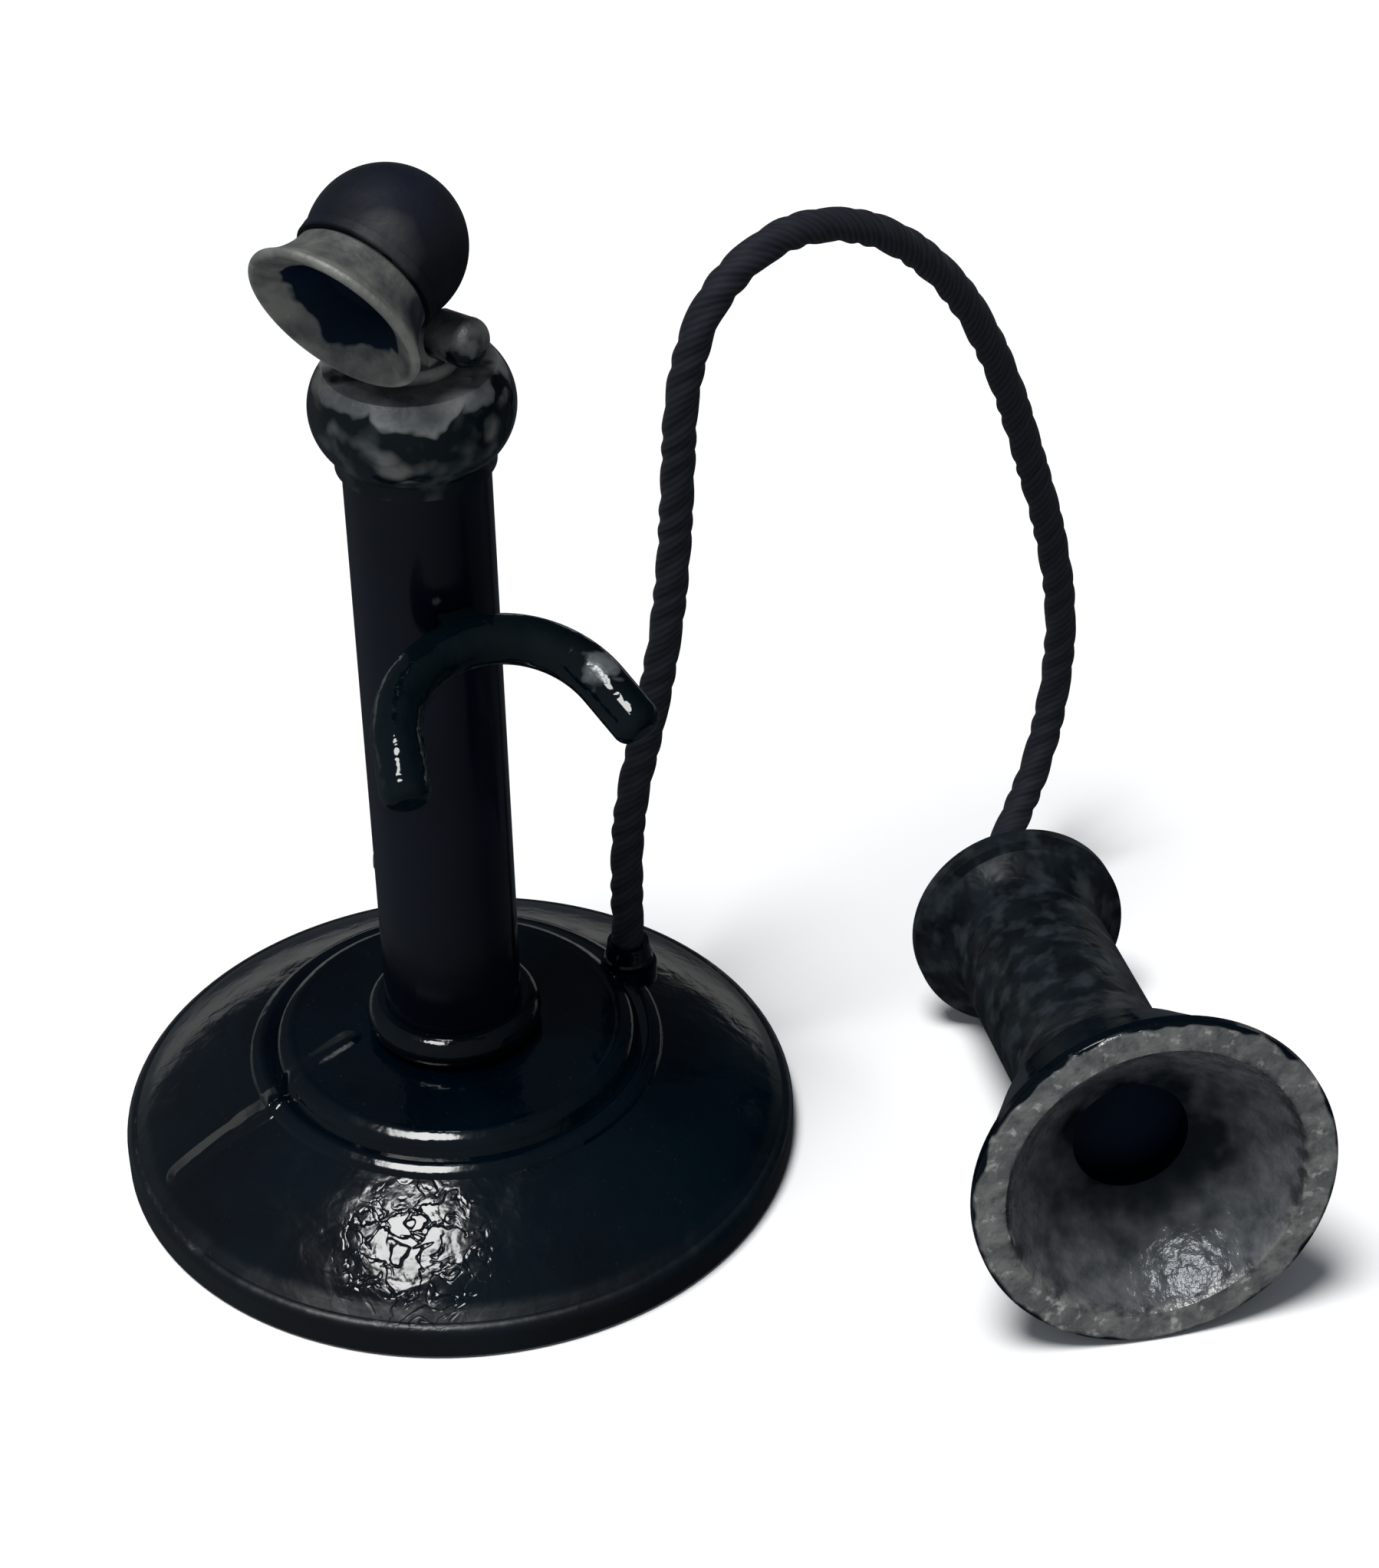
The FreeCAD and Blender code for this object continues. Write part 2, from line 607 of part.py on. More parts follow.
def fork():
    """Wishbone fork: one round rod bent to a bight with two spread prongs, rounded at their ends."""
    slope = math.radians(FORK_SLOPE_DEG)
    bend = math.radians(FORK_BEND_DEG)

    def at(u, w):
        return V(FORK_ROOT_X + u * math.cos(slope), w, HOOK_Z - u * math.sin(slope))

    bend_u = FORK_BEND_R * (1 - math.cos(bend))
    bend_w = FORK_BEND_R * math.sin(bend)
    tip_u = bend_u + FORK_PRONG_L * math.sin(bend)
    tip_w = bend_w + FORK_PRONG_L * math.cos(bend)
    path = Part.Wire([
        Part.makeLine(at(tip_u, -tip_w), at(bend_u, -bend_w)),
        Part.Arc(at(bend_u, -bend_w), at(0, 0), at(bend_u, bend_w)).toShape(),
        Part.makeLine(at(bend_u, bend_w), at(tip_u, tip_w)),
    ])
    start = at(tip_u, -tip_w)
    section = Part.Wire(Part.makeCircle(PRONG_R, start, at(bend_u, -bend_w) - start))
    rods = path.makePipeShell([section], True, False)
    tips = [at(tip_u, side * tip_w) for side in (-1, 1)]
    ends = [e for e in rods.Edges if min((e.CenterOfMass - tip).Length for tip in tips) < SLIP]
    return rods.makeFillet(PRONG_END_ROUND, ends)


def hook_parts():
    """Hook lever with its fork, pivot pin and insulated stud, in the plane of the hook."""
    pivot = V(0, 0, HOOK_Z)
    side = V(0, 1, 0)
    half = SHANK_W / 2
    shank = block((0, -half, HOOK_Z - SHANK_H / 2), (FORK_ROOT_X, half, HOOK_Z + SHANK_H / 2))
    boss = rod(PIVOT_BOSS_R, pivot - side * half, pivot + side * half)
    arm = block(
        (-LEVER_ARM_T / 2, -LEVER_ARM_W / 2, HOOK_Z - LEVER_ARM_DROP),
        (LEVER_ARM_T / 2, LEVER_ARM_W / 2, HOOK_Z),
    )
    stud_seat = V(-LEVER_ARM_T / 2, 0, HOOK_Z - STUD_DROP)
    out = V(-1, 0, 0)
    lever = fork().fuse([shank, boss, arm]).cut([
        rod(PIVOT_R + RUN, pivot - side * SHANK_W, pivot + side * SHANK_W),
        rod(STUD_SEAT_R + SLIP, stud_seat, stud_seat - out * (STUD_SEAT + END_ROOM)),
    ])
    stud = rod(STUD_R, stud_seat, stud_seat + out * STUD_L)
    stud = stud.fuse(rod(STUD_SEAT_R, stud_seat - out * STUD_SEAT, stud_seat))
    pin_half = CHEEK_IN + CHEEK_T + PIN_PAST_CHEEK
    shapes = {
        "hook_lever": lever.removeSplitter(),
        "hook_pivot_pin": rod(PIVOT_R, pivot - side * pin_half, pivot + side * pin_half),
        "lever_stud": stud.removeSplitter(),
    }
    return {name: around_z(shape, HOOK_AZ) for name, shape in shapes.items()}


def leaf(x, bottom, top, rivets):
    """Contact spring standing at x, with contact rivets given as (z, length along X)."""
    blade = block((x - SPRING_T / 2, -SPRING_W / 2, bottom), (x + SPRING_T / 2, SPRING_W / 2, top))
    for z, length in rivets:
        face = V(x + math.copysign(SPRING_T / 2, length), 0, z)
        blade = blade.fuse(rod(RIVET_R, face, face + V(length, 0, 0)))
    return blade


def switch_parts():
    """Hook switch inside the column: bracket, insulator stack and its three contact springs."""
    side = V(0, 1, 0)
    pivot = V(0, 0, HOOK_Z)
    disc_r = COLUMN_BORE_R - 2 * SLIP
    cheek_top = HOOK_Z + CHEEK_ABOVE_PIVOT
    disc = Part.makeCylinder(disc_r, BRACKET_DISC_T, UP * BRACKET_DISC_Z)
    cheeks = [
        block(
            (-CHEEK_W / 2, min(s * CHEEK_IN, s * (CHEEK_IN + CHEEK_T)), BRACKET_DISC_Z),
            (CHEEK_W / 2, max(s * CHEEK_IN, s * (CHEEK_IN + CHEEK_T)), cheek_top),
        )
        for s in (-1, 1)
    ]
    screw_z = BRACKET_DISC_Z + BRACKET_DISC_T / 2
    stack_screw_z = BRACKET_TOP_Z + STACK_SCREW_RISE
    front_x = MAIN_SPRING_X + FRONT_SPRING_STEP
    stack_screw_x = STACK_FRONT_X - STACK_SCREW_INSET
    reach = CHEEK_IN + CHEEK_T
    cuts = [rod(PIVOT_R + SLIP / 2, pivot - side * COLUMN_R, pivot + side * COLUMN_R)]
    for a in BRACKET_SCREW_AZ:
        cuts.append(rod(BRACKET_SCREW_R + SLIP, UP * screw_z, polar(COLUMN_R, a, screw_z)))
    stack_axis = V(stack_screw_x, 0, stack_screw_z)
    cuts.append(rod(STACK_SCREW_R + SLIP, stack_axis - side * reach, stack_axis + side * reach))
    bracket = disc.fuse(cheeks).cut(cuts).removeSplitter()

    bracket_screws = []
    for a in BRACKET_SCREW_AZ:
        seat = polar(COLUMN_R - BRACKET_SCREW_HEAD_T, a, screw_z)
        inward = -polar(1, a)
        bracket_screws.append(screw(
            BRACKET_SCREW_R, BRACKET_SCREW_HEAD_R, BRACKET_SCREW_HEAD_T, BRACKET_SCREW_L, seat, inward))

    stack = block(
        (STACK_BACK_X, -STACK_W / 2, BRACKET_TOP_Z),
        (STACK_FRONT_X, STACK_W / 2, STACK_TOP_Z),
    )
    clamp_z = stack_screw_z + STACK_SCREW_R + SPRING_ABOVE_SCREW
    fixed_slots = [
        block(
            (x - SPRING_T / 2 - SLIP, -SPRING_W / 2 - SLIP, clamp_z - SLIP),
            (x + SPRING_T / 2 + SLIP, SPRING_W / 2 + SLIP, STACK_TOP_Z + 1),
        )
        for x in (front_x, REAR_SPRING_X)
    ]
    root_z = STACK_TOP_Z - SPRING_ROOT_DEPTH
    slot_half = SPRING_T / 2 + SPRING_SLOT_ROOM
    main_slot = block(
        (MAIN_SPRING_X - slot_half, -SPRING_W / 2 - SIDE_GAP, root_z - SIDE_GAP),
        (MAIN_SPRING_X + slot_half, SPRING_W / 2 + SIDE_GAP, STACK_TOP_Z + 1),
    )
    screw_holes = [rod(STACK_SCREW_R + SLIP, stack_axis - side * STACK_W, stack_axis + side * STACK_W)]
    stack = stack.cut(fixed_slots + [main_slot] + screw_holes)
    stack_screws = []
    for s in (-1, 1):
        seat = stack_axis + side * s * reach
        stack_screws.append(screw(
            STACK_SCREW_R, STACK_SCREW_HEAD_R, STACK_SCREW_HEAD_T, reach - END_ROOM, seat, side * -s))

    front_rivet = FRONT_SPRING_STEP - SPRING_T - CONTACT_GAP
    front_rivets = [(FRONT_SPRING_TOP_Z - RIVET_BELOW_TOP, -front_rivet)]
    rear_rivets = [(REAR_SPRING_TOP_Z - RIVET_BELOW_TOP, REAR_RIVET_L)]
    springs = {
        "main_contact_spring": leaf(MAIN_SPRING_X, root_z, MAIN_SPRING_TOP_Z, []),
        "front_contact_spring": leaf(front_x, clamp_z, FRONT_SPRING_TOP_Z, front_rivets),
        "rear_contact_spring": leaf(REAR_SPRING_X, clamp_z, REAR_SPRING_TOP_Z, rear_rivets),
    }
    shapes = {
        "switch_bracket": bracket,
        "bracket_screws": group(bracket_screws),
        "spring_insulator_stack": stack,
        "spring_stack_screws": group(stack_screws),
        **springs,
    }
    return {name: around_z(shape, HOOK_AZ) for name, shape in shapes.items()}


def along_mouth(shape):
    """Move a shape turned about Z onto the tilted axis of the mouthpiece, in the plane of the head."""
    copy = shape.copy()
    copy.rotate(ORIGIN, V(0, 1, 0), 90 + MOUTH_TILT_DEG)
    copy.translate(V(BALL_FORWARD, 0, BALL_Z))
    return copy


def sphere_r(radius, a):
    """Radius of a ball's cross-section at a distance along its axis."""
    return math.sqrt(radius * radius - a * a)


def transmitter_parts():
    """Transmitter head: cup with its lug, faceplate, mouthpiece and the capsule inside."""
    side = V(0, 1, 0)
    pivot = V(0, 0, TILT_PIVOT_Z)
    centre = V(BALL_FORWARD, 0, BALL_Z)
    inner_r = BALL_R - CUP_WALL
    front_r = sphere_r(BALL_R, CUP_FRONT_A)
    mouth_r = sphere_r(inner_r, CUP_FRONT_A)
    back_r = BALL_R * math.sqrt(0.5)
    back_in = inner_r * math.sqrt(0.5)
    half_a = CUP_FRONT_A / 2
    outside = along_mouth(turned(
        (0, -BALL_R),
        ((back_r, -back_r), (BALL_R, 0)),
        ((sphere_r(BALL_R, half_a), half_a), (front_r, CUP_FRONT_A)),
        (0, CUP_FRONT_A),
    ))
    cavity = along_mouth(turned(
        (0, -inner_r),
        ((back_in, -back_in), (inner_r, 0)),
        ((sphere_r(inner_r, half_a), half_a), (mouth_r, CUP_FRONT_A)),
        (mouth_r, CUP_FRONT_A + 1),
        (0, CUP_FRONT_A + 1),
    ))
    to_ball = centre - pivot
    to_ball.normalize()
    across = V(-to_ball.z, 0, to_ball.x)
    half = side * (LUG_T / 2)
    reach = across * LUG_END_R
    ends = [pivot - reach, pivot + reach, centre + reach, centre - reach]
    web = Part.Face(Part.makePolygon([p - half for p in ends + ends[:1]])).extrude(side * LUG_T)
    eye = rod(LUG_END_R, pivot - half, pivot + half)
    bore = rod(TILT_SCREW_R + RUN, pivot - side * LUG_T, pivot + side * LUG_T)
    face_front = CUP_FRONT_A + FACE_T
    plate_r = front_r + FACE_LIP
    plate_room = along_mouth(Part.makeCylinder(plate_r + SIDE_GAP, FACE_T + SIDE_GAP, UP * CUP_FRONT_A))
    cup = outside.fuse([web, eye]).cut([cavity, bore, plate_room])

    screw_r = 0.5 * (front_r + mouth_r)
    faceplate = turned(
        (FACE_HOLE_R, CUP_FRONT_A),
        (plate_r, CUP_FRONT_A),
        (plate_r, face_front - FACE_EDGE),
        (plate_r - FACE_EDGE, face_front),
        (FACE_HOLE_R, face_front),
    )
    seat_a = face_front - FACE_SCREW_HEAD_T
    seats = [polar(screw_r, a, seat_a) for a in on_circle(FACE_SCREW_COUNT, FACE_SCREW_AZ)]
    holes = [rod(FACE_SCREW_R + SLIP, p - UP * (FACE_SCREW_L + END_ROOM), p + UP) for p in seats]
    holes += [rod(FACE_SCREW_HEAD_R + SLIP, p, p + UP * FACE_T) for p in seats]
    face_screws = [
        screw(FACE_SCREW_R, FACE_SCREW_HEAD_R, FACE_SCREW_HEAD_T, FACE_SCREW_L, p, -UP) for p in seats
    ]
    cup = cup.cut([along_mouth(h) for h in holes]).removeSplitter()

    edge_a = face_front + EDGE_BREAK
    bowl_a = face_front + MOUTH_BOWL_RISE
    rim_back_a = MOUTH_RIM_A - MOUTH_LIP_ROUND
    rim_in_r = MOUTH_RIM_R - MOUTH_WALL
    mid_out = (0.65 * MOUTH_BACK_R + 0.35 * MOUTH_RIM_R, 0.45 * edge_a + 0.55 * rim_back_a)
    mid_in = (0.58 * MOUTH_BOWL_R + 0.42 * rim_in_r, 0.34 * bowl_a + 0.66 * MOUTH_RIM_A)
    mouthpiece = turned(
        (MOUTH_THROAT_R, face_front - MOUTH_BOSS_L),
        (FACE_HOLE_R - SLIP, face_front - MOUTH_BOSS_L),
        (FACE_HOLE_R - SLIP, face_front),
        (MOUTH_BACK_R - EDGE_BREAK, face_front),
        (MOUTH_BACK_R, edge_a),
        (mid_out, (MOUTH_RIM_R, rim_back_a)),
        ((MOUTH_RIM_R - 0.3 * MOUTH_LIP_ROUND, MOUTH_RIM_A + 0.6 * MOUTH_LIP_ROUND),
         (rim_in_r, MOUTH_RIM_A + MOUTH_LIP_ROUND)),
        (mid_in, (MOUTH_BOWL_R, bowl_a)),
        (MOUTH_THROAT_R, face_front - MOUTH_LIP_ROUND),
    )

    disc_front = CUP_FRONT_A - GASKET_T
    disc_r = mouth_r - DIAPHRAGM_EDGE_GAP
    gasket = Part.makeCylinder(disc_r, GASKET_T, UP * disc_front)
    gasket = gasket.cut(Part.makeCylinder(disc_r - GASKET_W, GASKET_T, UP * disc_front))
    disc = Part.makeCylinder(disc_r, DIAPHRAGM_T, UP * (disc_front - DIAPHRAGM_T))
    disc_back = disc_front - DIAPHRAGM_T
    button_front = disc_back - ELECTRODE_L
    button_back = button_front - BUTTON_L
    button = Part.makeCylinder(BUTTON_R, BUTTON_L, UP * button_back)
    front_edges = [e for e in button.Edges if e.BoundBox.ZMin > button_front - SLIP]
    button = button.makeChamfer(EDGE_BREAK, front_edges)
    button = button.fuse(Part.makeCylinder(ELECTRODE_R, ELECTRODE_L, UP * button_front)).removeSplitter()
    bridge_back = button_back - BRIDGE_T
    bridge_r = sphere_r(inner_r, min(bridge_back, 0)) - 2 * SLIP
    bridge = Part.makeCylinder(bridge_r, BRIDGE_T, UP * bridge_back)
    bridge = bridge.common(block((-BRIDGE_W / 2, -BALL_R, bridge_back), (BRIDGE_W / 2, BALL_R, button_back)))
    shapes = {
        "transmitter_cup": cup,
        "transmitter_faceplate": along_mouth(faceplate.cut(holes)),
        "faceplate_screws": along_mouth(group(face_screws)),
        "mouthpiece": along_mouth(mouthpiece),
        "diaphragm_gasket": along_mouth(gasket),
        "transmitter_diaphragm": along_mouth(disc),
        "carbon_button": along_mouth(button),
        "button_bridge": along_mouth(bridge),
    }
    return {name: around_z(shape, MOUTH_AZ) for name, shape in shapes.items()}


def yoke_parts():
    """Yoke on the collar that carries the transmitter's lug, with its clamp screw and nut."""
    side = V(0, 1, 0)
    pivot = V(0, 0, TILT_PIVOT_Z)
    ear_out = EAR_IN + EAR_T
    base_top = COLLAR_TOP_Z + YOKE_BASE_T
    base = turned(
        (0, COLLAR_TOP_Z - YOKE_STUD_L),
        (YOKE_STUD_R, COLLAR_TOP_Z - YOKE_STUD_L),
        (YOKE_STUD_R, COLLAR_TOP_Z),
        (YOKE_BASE_R - EDGE_BREAK, COLLAR_TOP_Z),
        ((YOKE_BASE_R, COLLAR_TOP_Z + YOKE_BASE_T / 2), (YOKE_BASE_R - EDGE_BREAK, base_top)),
        (0, base_top),
    )
    adds = []
    for s in (-1, 1):
        inner = side * (s * EAR_IN)
        outer = side * (s * ear_out)
        low_y, high_y = sorted((s * EAR_IN, s * ear_out))
        adds.append(rod(EAR_R, pivot + inner, pivot + outer))
        adds.append(block((-EAR_R, low_y, base_top - 1), (EAR_R, high_y, TILT_PIVOT_Z)))
    hole = rod(TILT_SCREW_R + SLIP / 2, pivot - side * COLUMN_R, pivot + side * COLUMN_R)
    yoke = base.fuse(adds).cut(hole).removeSplitter()

    screw_l = 2 * ear_out + TILT_NUT_BORE - END_ROOM
    dome_mid = (0.77 * TILT_NUT_R + 0.23 * TILT_NUT_FLAT_R, 0.28 * TILT_NUT_STRAIGHT + 0.72 * TILT_NUT_L)
    tilt_screw = screw(TILT_SCREW_R, TILT_HEAD_R, TILT_HEAD_T, screw_l, pivot - side * ear_out, side)
    nut = turned(
        (TILT_SCREW_R + SLIP, 0),
        (TILT_NUT_R, 0),
        (TILT_NUT_R, TILT_NUT_STRAIGHT),
        (dome_mid, (TILT_NUT_FLAT_R, TILT_NUT_L)),
        (0, TILT_NUT_L),
        (0, TILT_NUT_BORE),
        (TILT_SCREW_R + SLIP, TILT_NUT_BORE),
    )
    nut.rotate(ORIGIN, V(1, 0, 0), -90)
    nut.translate(pivot + side * ear_out)
    shapes = {"transmitter_yoke": yoke, "tilt_screw": tilt_screw, "tilt_nut": nut}
    return {name: around_z(shape, MOUTH_AZ) for name, shape in shapes.items()}


def receiver_frame():
    """Where the receiver lies: its tail rim and ear rim both touch the table."""
    seat = V(RECEIVER_X, RECEIVER_Y, TAIL_R * math.cos(RECEIVER_TILT))
    place = FreeCAD.Placement(seat, FreeCAD.Rotation(UP, RECEIVER_AZ))
    lean = FreeCAD.Placement(ORIGIN, FreeCAD.Rotation(V(0, 1, 0), 90 - math.degrees(RECEIVER_TILT)))
    return place.multiply(lean)


def receiver_parts():
    """Receiver: handle shell, tail cap, ear cap, and the magnet, coils and diaphragm inside."""
    flare_mid = (0.7 * HANDLE_R + 0.3 * TAIL_FLARE_R, TAIL_FRONT_S + 0.3 * TAIL_FLARE_L)
    bell_mid = (0.66 * HANDLE_R + 0.34 * SHELL_END_R, 0.42 * HANDLE_STRAIGHT_S + 0.58 * SHELL_END_S)
    shell = turned(
        (HANDLE_BORE_R, TAIL_FRONT_S),
        (TAIL_FLARE_R, TAIL_FRONT_S),
        (flare_mid, (HANDLE_R, TAIL_FRONT_S + TAIL_FLARE_L)),
        (HANDLE_R, HANDLE_STRAIGHT_S),
        (bell_mid, (SHELL_END_R, SHELL_END_S)),
        (CHAMBER_R, SHELL_END_S),
        (CHAMBER_R, SHELL_END_S - CHAMBER_LIP),
        (HANDLE_BORE_R, HANDLE_BORE_S),
    )
    plug_r = HANDLE_BORE_R - SLIP
    dome_mid = (0.62 * TAIL_R + 0.38 * TAIL_DOME_R, 0.8 * TAIL_DOME_S)
    tail = turned(
        (0, TAIL_DOME_S),
        (TAIL_DOME_R, TAIL_DOME_S),
        (dome_mid, (TAIL_R - TAIL_EDGE, -TAIL_EDGE)),
        (TAIL_R, 0),
        (TAIL_R, TAIL_RIM_T),
        (TAIL_R - TAIL_EDGE, TAIL_RIM_T + 0.5 * (TAIL_FRONT_S - TAIL_RIM_T)),
        (TAIL_FLARE_R, TAIL_FRONT_S),
        (plug_r, TAIL_FRONT_S),
        (plug_r, TAIL_FRONT_S + TAIL_PLUG_L),
        (0, TAIL_FRONT_S + TAIL_PLUG_L),
    )
    disc_seat = EAR_DISC_R + EAR_RECESS_ROOM
    disc_front = SHELL_END_S + EAR_DISC_T
    cap_mid = (0.47 * SHELL_END_R + 0.53 * EAR_RIM_R, 0.44 * SHELL_END_S + 0.56 * EAR_RIM_BACK_S)
    dish_r = EAR_LIP_R - EAR_STEP_W
    dish_s = EAR_END_S - EAR_STEP_D
    dish_mid = (0.6 * dish_r + 0.4 * EAR_THROAT_R, 0.42 * dish_s + 0.58 * EAR_THROAT_S)
    rim_edge = 0.7 * EAR_RIM_ROUND
    lip_mid = (EAR_RIM_R - 0.3 * EAR_RIM_ROUND, EAR_END_S - 0.3 * EAR_RIM_ROUND)
    cap = turned(
        (disc_seat, SHELL_END_S),
        (SHELL_END_R, SHELL_END_S),
        (cap_mid, (EAR_RIM_R - rim_edge, EAR_RIM_BACK_S - rim_edge)),
        (EAR_RIM_R, EAR_RIM_BACK_S),
        (EAR_RIM_R, EAR_RIM_BACK_S + EAR_RIM_T),
        (lip_mid, (EAR_RIM_R - EAR_RIM_ROUND, EAR_END_S)),
        (EAR_LIP_R, EAR_END_S),
        (dish_r, dish_s),
        (dish_mid, (EAR_THROAT_R, EAR_THROAT_S)),
        (EAR_THROAT_R, disc_front + EAR_BACK_TAPER),
        (disc_seat - EAR_BACK_TAPER, disc_front),
        (disc_seat, disc_front),
    )
    disc = Part.makeCylinder(EAR_DISC_R, EAR_DISC_T, UP * SHELL_END_S)

    magnet_start = TAIL_FRONT_S + TAIL_PLUG_L
    inner_y = POLE_OFFSET - MAGNET_T / 2
    outer_y = POLE_OFFSET + MAGNET_T / 2
    magnet = block((-MAGNET_W / 2, -outer_y, magnet_start), (MAGNET_W / 2, outer_y, MAGNET_END_S))
    opening_s = magnet_start + MAGNET_BRIDGE_L
    magnet = magnet.cut(block((-MAGNET_W, -inner_y, opening_s), (MAGNET_W, inner_y, MAGNET_END_S + 1)))

    def pole_bar(side, grow, low, high):
        half_w = POLE_W / 2 + grow
        half_t = POLE_T / 2 + grow
        mid = side * POLE_OFFSET
        return block((-half_w, mid - half_t, low), (half_w, mid + half_t, high))

    poles = [pole_bar(s, 0, MAGNET_END_S, SHELL_END_S - POLE_GAP) for s in (-1, 1)]
    coils = []
    for s in (-1, 1):
        coil = pole_bar(s, COIL_WALL, COIL_START_S, COIL_END_S)
        upright = [e for e in coil.Edges if e.BoundBox.ZLength > COIL_L / 2]
        coil = coil.makeFillet(COIL_WALL * 0.9, upright)
        coils.append(coil.cut(pole_bar(s, SLIP, COIL_START_S - 1, COIL_END_S + 1)))
    plate = Part.makeCylinder(HANDLE_BORE_R - SLIP, COIL_PLATE_T, UP * COIL_PLATE_S)
    plate_top = COIL_PLATE_S + COIL_PLATE_T
    plate = plate.cut([pole_bar(s, SLIP, COIL_PLATE_S - 1, plate_top + 1) for s in (-1, 1)])
    bushing = turned(
        (0, BUSHING_END_S),
        (BUSHING_NECK_R, BUSHING_END_S),
        (BUSHING_R, TAIL_DOME_S - BUSHING_RIM_T),
        (BUSHING_R, TAIL_DOME_S),
        (0, TAIL_DOME_S),
    )
    shapes = {
        "receiver_shell": shell,
        "receiver_tail_cap": tail,
        "receiver_ear_cap": cap,
        "receiver_diaphragm": disc,
        "receiver_magnet": magnet,
        "receiver_pole_pieces": group(poles),
        "receiver_coils": group(coils),
        "receiver_coil_plate": plate,
        "receiver_cord_bushing": bushing,
    }
    frame = receiver_frame()
    return {name: placed(shape, frame) for name, shape in shapes.items()}


def placed(shape, frame):
    """Copy of a shape carried by a placement."""
    copy = shape.copy()
    copy.Placement = frame.multiply(copy.Placement)
    return copy


def receiver_cord():
    """Cord from the gland to the receiver: straight runs joined by the largest tangent arcs."""
    frame = receiver_frame()
    tail = frame.multVec(V(0, 0, BUSHING_END_S))
    before = frame.multVec(V(0, 0, BUSHING_END_S - CORD_LAST_RUN))
    route = [V(*p) for p in CORD_ROUTE] + [before, tail]
    edges = []
    here = route[0]
    length = 0.0
    radii = []
    for left, corner, right in zip(route, route[1:], route[2:]):
        back = left - corner
        ahead = right - corner
        reach = 0.45 * min(back.Length, ahead.Length)
        back.normalize()
        ahead.normalize()
        turn = math.pi - back.getAngle(ahead)
        radius = reach / math.tan(turn / 2)
        radii.append(radius)
        start = corner + back * reach
        end = corner + ahead * reach
        middle = back + ahead
        middle.normalize()
        deep = radius * (1 / math.cos(turn / 2) - 1)
        edges.append(Part.makeLine(here, start))
        edges.append(Part.Arc(start, corner + middle * deep, end).toShape())
        length += (start - here).Length + radius * turn
        here = end
    edges.append(Part.makeLine(here, route[-1]))
    length += (route[-1] - here).Length
    section = Part.Wire(Part.makeCircle(CORD_D / 2, route[0], route[1] - route[0]))
    tube = Part.Wire(edges).makePipeShell([section], True, False)
    expected = math.pi * CORD_D ** 2 / 4 * length
    print("cord length %.1f mm, volume over section times length %.4f" % (length, tube.Volume / expected))
    print("cord radii " + " ".join("%.0f" % r for r in radii))
    return tube


def main():
    """Build every piece and write one STEP file for each."""
    parts = {}
    parts.update(base_parts())
    parts.update(column_parts())
    parts.update(hook_parts())
    parts.update(switch_parts())
    parts.update(yoke_parts())
    parts.update(transmitter_parts())
    parts.update(receiver_parts())
    parts["receiver_cord"] = receiver_cord()
    os.makedirs("parts", exist_ok=True)
    for name, shape in parts.items():
        if not shape.isValid() or shape.Volume <= 0:
            print("check", name, shape.isValid(), shape.Volume)
        shape.exportStep("parts/%s.step" % name)
    print("%d pieces" % len(parts))


main()
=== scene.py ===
"""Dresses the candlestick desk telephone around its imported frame.

Each sub-assembly is a class with its sizes as fields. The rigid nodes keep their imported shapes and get
their finishes here, and the twisted receiver cord is laid up strand by strand in place of its plain tube.
All lengths are metres in the frame's own axes unless a name ends in _mm.
"""

from __future__ import annotations

import json
import logging
import math
from dataclasses import dataclass
from enum import Enum
from typing import Any

import bpy
from mathutils import Matrix, Vector

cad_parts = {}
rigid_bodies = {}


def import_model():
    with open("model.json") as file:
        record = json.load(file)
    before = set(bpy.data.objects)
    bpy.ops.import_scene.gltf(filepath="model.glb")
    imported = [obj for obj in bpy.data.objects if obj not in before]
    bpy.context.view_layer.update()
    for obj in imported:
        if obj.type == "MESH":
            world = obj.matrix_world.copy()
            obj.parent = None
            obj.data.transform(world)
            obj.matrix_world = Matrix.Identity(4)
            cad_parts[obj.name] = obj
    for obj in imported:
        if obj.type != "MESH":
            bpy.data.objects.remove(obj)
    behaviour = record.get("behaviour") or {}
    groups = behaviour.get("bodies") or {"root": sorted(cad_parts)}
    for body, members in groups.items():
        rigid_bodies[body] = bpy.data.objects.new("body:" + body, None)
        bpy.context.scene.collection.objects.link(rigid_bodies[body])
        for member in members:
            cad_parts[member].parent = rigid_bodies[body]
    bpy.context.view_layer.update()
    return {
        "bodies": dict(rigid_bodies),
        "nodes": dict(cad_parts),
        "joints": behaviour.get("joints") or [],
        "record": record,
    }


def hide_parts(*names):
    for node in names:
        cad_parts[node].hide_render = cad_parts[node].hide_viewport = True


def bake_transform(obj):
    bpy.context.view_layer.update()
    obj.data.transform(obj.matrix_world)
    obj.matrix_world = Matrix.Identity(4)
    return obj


LOG = logging.getLogger("telephone")
MM = 0.001
# Most values of a noise texture lie between these.
NOISE_SPAN = (0.35, 0.65)
# A wave texture repeats after this length over its scale.
WAVE_LENGTH = 0.314
# The sockets of a colour mix's two tones.
FIRST, SECOND = 6, 7

Frame = dict[str, Any]
Material = bpy.types.Material
Node = bpy.types.Node
Point = tuple[float, float, float]
# What feeds an input: a socket, or a node for the first output that it uses.
Source = bpy.types.Node | bpy.types.NodeSocket
Span = tuple[float, float]
Tree = bpy.types.NodeTree


